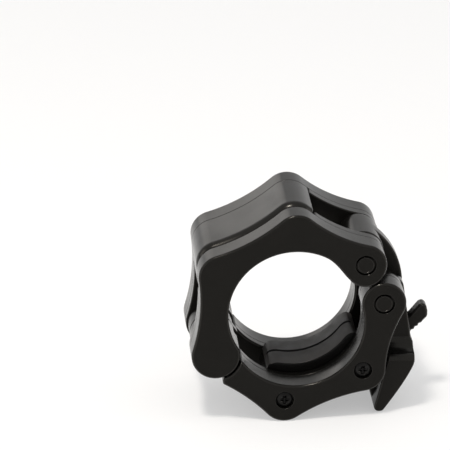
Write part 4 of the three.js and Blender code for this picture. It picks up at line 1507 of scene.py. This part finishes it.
class COLLAR_OT_screws(bpy.types.Operator):
    """Make the two screws and their nuts"""

    bl_idname = "collar.screws"
    bl_label = "Screws"

    def execute(self, context):
        pins = context.scene.collar_pins
        copies("screw_pair", -HALF_WIDTH + pins.screw_drop, screw_model(pins), ["foot_screw", "tab_screw"])
        copies("nut_pair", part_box("foot_nut")[1].y, nut_model(pins), ["foot_nut", "tab_nut"])
        return {"FINISHED"}


# Release tab and its spring

# The tab's outline from its sleeve's axis, as shares of its reach.
TAB_UNDER_SHARES = ((0.145, -0.026), (0.287, 0.049), (0.476, 0.134))
TAB_TOOTH_SHARES = ((0.55, 0.088), (0.838, 0.352))
TAB_OVER_SHARES = (
    (0.888, 0.415), (0.8875, 0.49), (0.872, 0.56), (0.826, 0.595),
    (0.778, 0.575), (0.667, 0.44), (0.512, 0.33), (0.326, 0.307),
)
# The round root of the tab, in degrees, and the least turn that is rounded off between its teeth.
TAB_ROOT = (130, 330)
TAB_ROOT_STEP = 8.0
TOOTH_CORNER = math.radians(40)
TOOTH_STEPS = 8
SLEEVE_RIM = 0.0002
# Steps of the spring's leg, of one turn and of its hook.
LEG_STEPS = 8
TURN_STEPS = 36
HOOK_STEPS = 3


class COLLAR_OT_tab(bpy.types.Operator):
    """Make the toothed release tab, its sleeve and its torsion spring"""

    bl_idname = "collar.tab"
    bl_label = "Release Tab"

    def execute(self, context):
        sizes, pins = context.scene.collar_tab, context.scene.collar_pins
        under, edge, over = (
            [Vector((TAB_SCREW.x + x * sizes.reach, TAB_SCREW.y + y * sizes.reach)) for x, y in shares]
            for shares in (TAB_UNDER_SHARES, TAB_TOOTH_SHARES, TAB_OVER_SHARES)
        )
        first, last = edge
        inward = Vector((first.y - last.y, last.x - first.x)).normalized() * sizes.tooth_depth
        count = sizes.teeth * TOOTH_STEPS
        shares = [i / count for i in range(count)]
        dips = [1 - abs(math.sin(math.pi * sizes.teeth * t)) for t in shares]
        teeth = [first.lerp(last, t) + inward * dip for t, dip in zip(shares, dips)]
        root = arc(TAB_SCREW, sizes.ring, *TAB_ROOT, TAB_ROOT_STEP)
        loop = leftward([*root, *under, *teeth, last, *over])
        loop = soften(loop, sizes.tooth_depth, TOOTH_CORNER, steps=4)
        shell = Shell()
        bore = hole(TAB_SCREW, sizes.sleeve + pins.clearance)
        shell.slab(loop, -TAB_HALF, TAB_HALF, sizes.edge, sizes.edge, [bore], sizes.edge / 3)
        make_piece("tab_shell", shell, "tab", "release_tab")
        low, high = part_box("tab_sleeve")
        shell = Shell()
        shell.tube(TAB_SCREW, sizes.sleeve_bore, sizes.sleeve, low.y, high.y, SLEEVE_RIM)
        make_piece("sleeve_turned", shell, "lower_jaw", "tab_sleeve", "bright_steel")
        self.spring(sizes, pins)
        return {"FINISHED"}

    def spring(self, sizes, pins):
        radius = sizes.sleeve + pins.clearance + sizes.wire
        start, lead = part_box("tab_spring")[0].y + sizes.wire, sizes.lead
        path = []
        for i in range(LEG_STEPS + 1):
            back = sizes.leg * (1 - i / LEG_STEPS)
            path.append((TAB_SCREW.x + radius * math.cos(lead) + back * math.sin(lead), start,
                         TAB_SCREW.y + radius * math.sin(lead) - back * math.cos(lead)))
        for i in range(1, TURN_STEPS * sizes.turns + 1):
            turn, rise = lead + math.tau * i / TURN_STEPS, sizes.pitch * i / TURN_STEPS
            path.append((TAB_SCREW.x + radius * math.cos(turn), start + rise,
                         TAB_SCREW.y + radius * math.sin(turn)))
        x, y, z = path[-1]
        path += [(x, y + sizes.hook * i / HOOK_STEPS, z) for i in range(1, HOOK_STEPS + 1)]
        tree = Growth("spring_tree", {"Wire radius": "NodeSocketFloat", "Sides": "NodeSocketInt"})
        line = tree.add("GeometryNodeMeshToCurve", {"Mesh": tree.given["Geometry"]})
        inputs = {"Radius": tree.given["Wire radius"], "Resolution": tree.given["Sides"]}
        ring = tree.add("GeometryNodeCurvePrimitiveCircle", inputs)
        inputs = {"Curve": line.outputs["Curve"], "Profile Curve": ring.outputs["Curve"], "Fill Caps": True}
        tree.close(tree.add("GeometryNodeCurveToMesh", inputs).outputs["Mesh"], "bright_steel")
        links = [(i, i + 1) for i in range(len(path) - 1)]
        mesh = tree.bake("spring_coil", path, links, {"Wire radius": sizes.wire, "Sides": WIRE_SIDES})
        dress("spring_coil", mesh, "tab", ["tab_spring"], "bright_steel")


class COLLAR_OT_kept_nodes(bpy.types.Operator):
    """Give the frame's own pieces that stay their finish"""

    bl_idname = "collar.kept_nodes"
    bl_label = "Kept Pieces"

    def execute(self, context):
        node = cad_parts["lower_pad_carrier"]
        node.data.materials.clear()
        node.data.materials.append(finish(moulded_nylon))
        return {"FINISHED"}


# Stage

# Name, watts, width and height, and place of each lamp.
LAMPS = (
    ("key_lamp", 7.0, (0.16, 0.16), (-0.26, -0.36, 1.1)),
    ("back_lamp", 0.45, (0.42, 0.5), (-0.44, 1.33, 0.46)),
    ("left_lamp", 1.2, (0.5, 0.5), (-1.0, -0.1, 0.45)),
    ("right_lamp", 1.2, (0.5, 0.5), (1.0, -0.1, 0.45)),
)
LAMP_COLOUR = (1.0, 0.955, 0.9)
LAMP_TARGET = Vector((0, 0, 0.04))
WORLD_STRENGTH = 0.65
# The camera's sensor in millimetres, and the nearest and farthest that it sees in metres.
SENSOR_WIDTH = 36.0
SIGHT = (0.1, 30.0)
# The backdrop's bend and its height, as shares of the floor's half width.
BEND_SHARE = 0.6
BACKDROP_SHARE = 1.5
BEND_STEPS = 16


def aimed(made, place, back):
    """Puts a lamp or the camera at a place, with its back towards a direction."""
    made.location = place
    made.rotation_mode = "QUATERNION"
    made.rotation_quaternion = back.to_track_quat("Z", "Y")


class COLLAR_OT_stage(bpy.types.Operator):
    """Make the floor, the backdrop, the lamps and the camera"""

    bl_idname = "collar.stage"
    bl_label = "Stage"

    def execute(self, context):
        stage = context.scene.collar_stage
        self.camera(context, stage)
        self.floor(stage)
        self.world(context)
        for name, energy, size, place in LAMPS:
            self.lamp(name, energy, size, place)
        context.scene.view_settings.view_transform = "Standard"
        return {"FINISHED"}

    def lamp(self, name, energy, size, place):
        data = bpy.data.lights.new(name, "AREA")
        data.shape = "RECTANGLE"
        data.size, data.size_y = size
        data.energy = energy
        data.color = LAMP_COLOUR
        aimed(placed(name, data), place, Vector(place) - LAMP_TARGET)

    def camera(self, context, stage):
        turn, rise = stage.azimuth, stage.elevation
        back = Vector((math.sin(turn) * math.cos(rise), -math.cos(turn) * math.cos(rise), math.sin(rise)))
        right = Vector((math.cos(turn), math.sin(turn), 0))
        across, down = ((target - 0.5) * stage.scale for target in (stage.target_x, stage.target_y))
        aim = Vector((BORE.x, -HALF_WIDTH, BORE.y)) - right * across + back.cross(right) * down
        data = bpy.data.cameras.new("camera")
        data.sensor_width = SENSOR_WIDTH
        data.lens = data.sensor_width * stage.distance / stage.scale
        data.clip_start, data.clip_end = SIGHT
        context.scene.camera = placed("camera", data)
        aimed(context.scene.camera, aim + back * stage.distance, back)

    def floor(self, stage):
        half, bend = stage.floor, stage.floor * BEND_SHARE
        rows = [(bend * math.sin(turn), bend * (1 - math.cos(turn))) for turn in quarter(BEND_STEPS)]
        rows = [(-half, 0.0), *[(half - bend + y, z) for y, z in rows], (half, half * BACKDROP_SHARE)]
        shell = Shell()
        for (y, z), (next_y, next_z) in zip(rows, rows[1:]):
            corners = [(-half, y, z), (half, y, z), (half, next_y, next_z), (-half, next_y, next_z)]
            shell.faces.append(tuple(shell.ring(corners)))
        mesh = bpy.data.meshes.new("floor")
        mesh.from_pydata(shell.points, [], shell.faces)
        mesh.polygons.foreach_set("use_smooth", [True] * len(mesh.polygons))
        mesh.materials.append(finish(stage_white))
        placed("floor", mesh)

    def world(self, context):
        world = bpy.data.worlds.new("studio")
        context.scene.world = world
        world.use_nodes = True
        background = world.node_tree.nodes["Background"]
        background.inputs["Color"].default_value = (1, 1, 1, 1)
        background.inputs["Strength"].default_value = WORLD_STRENGTH


class COLLAR_PT_panel(bpy.types.Panel):
    """The collar's pieces and sizes"""

    bl_label = "Lever Collar"
    bl_idname = "COLLAR_PT_panel"
    bl_space_type = "VIEW_3D"
    bl_region_type = "UI"
    bl_category = "Collar"

    def draw(self, context):
        for operator in OPERATORS:
            self.layout.operator(operator.bl_idname)
        for name in GROUPS:
            group = getattr(context.scene, name)
            box = self.layout.box()
            box.label(text=type(group).__doc__.strip("."))
            for key in type(group).__annotations__:
                box.prop(group, key)


GROUPS = {
    "collar_jaw": JawSizes,
    "collar_pins": PinSizes,
    "collar_pads": PadSizes,
    "collar_lever": LeverSizes,
    "collar_tab": TabSizes,
    "collar_finish": FinishColours,
    "collar_stage": StageSizes,
}
OPERATORS = (
    COLLAR_OT_upper_frame,
    COLLAR_OT_lower_frames,
    COLLAR_OT_pads,
    COLLAR_OT_lever,
    COLLAR_OT_link,
    COLLAR_OT_pins,
    COLLAR_OT_screws,
    COLLAR_OT_tab,
    COLLAR_OT_kept_nodes,
    COLLAR_OT_stage,
)


def register():
    for group in (*GROUPS.values(), *OPERATORS, COLLAR_PT_panel):
        bpy.utils.register_class(group)
    for name, group in GROUPS.items():
        setattr(bpy.types.Scene, name, bpy.props.PointerProperty(type=group))


def unregister():
    for name in GROUPS:
        delattr(bpy.types.Scene, name)
    for group in reversed((*GROUPS.values(), *OPERATORS, COLLAR_PT_panel)):
        bpy.utils.unregister_class(group)


def main():
    register()
    for operator in OPERATORS:
        family, name = operator.bl_idname.split(".")
        getattr(getattr(bpy.ops, family), name)()


if __name__ == "__main__":
    main()
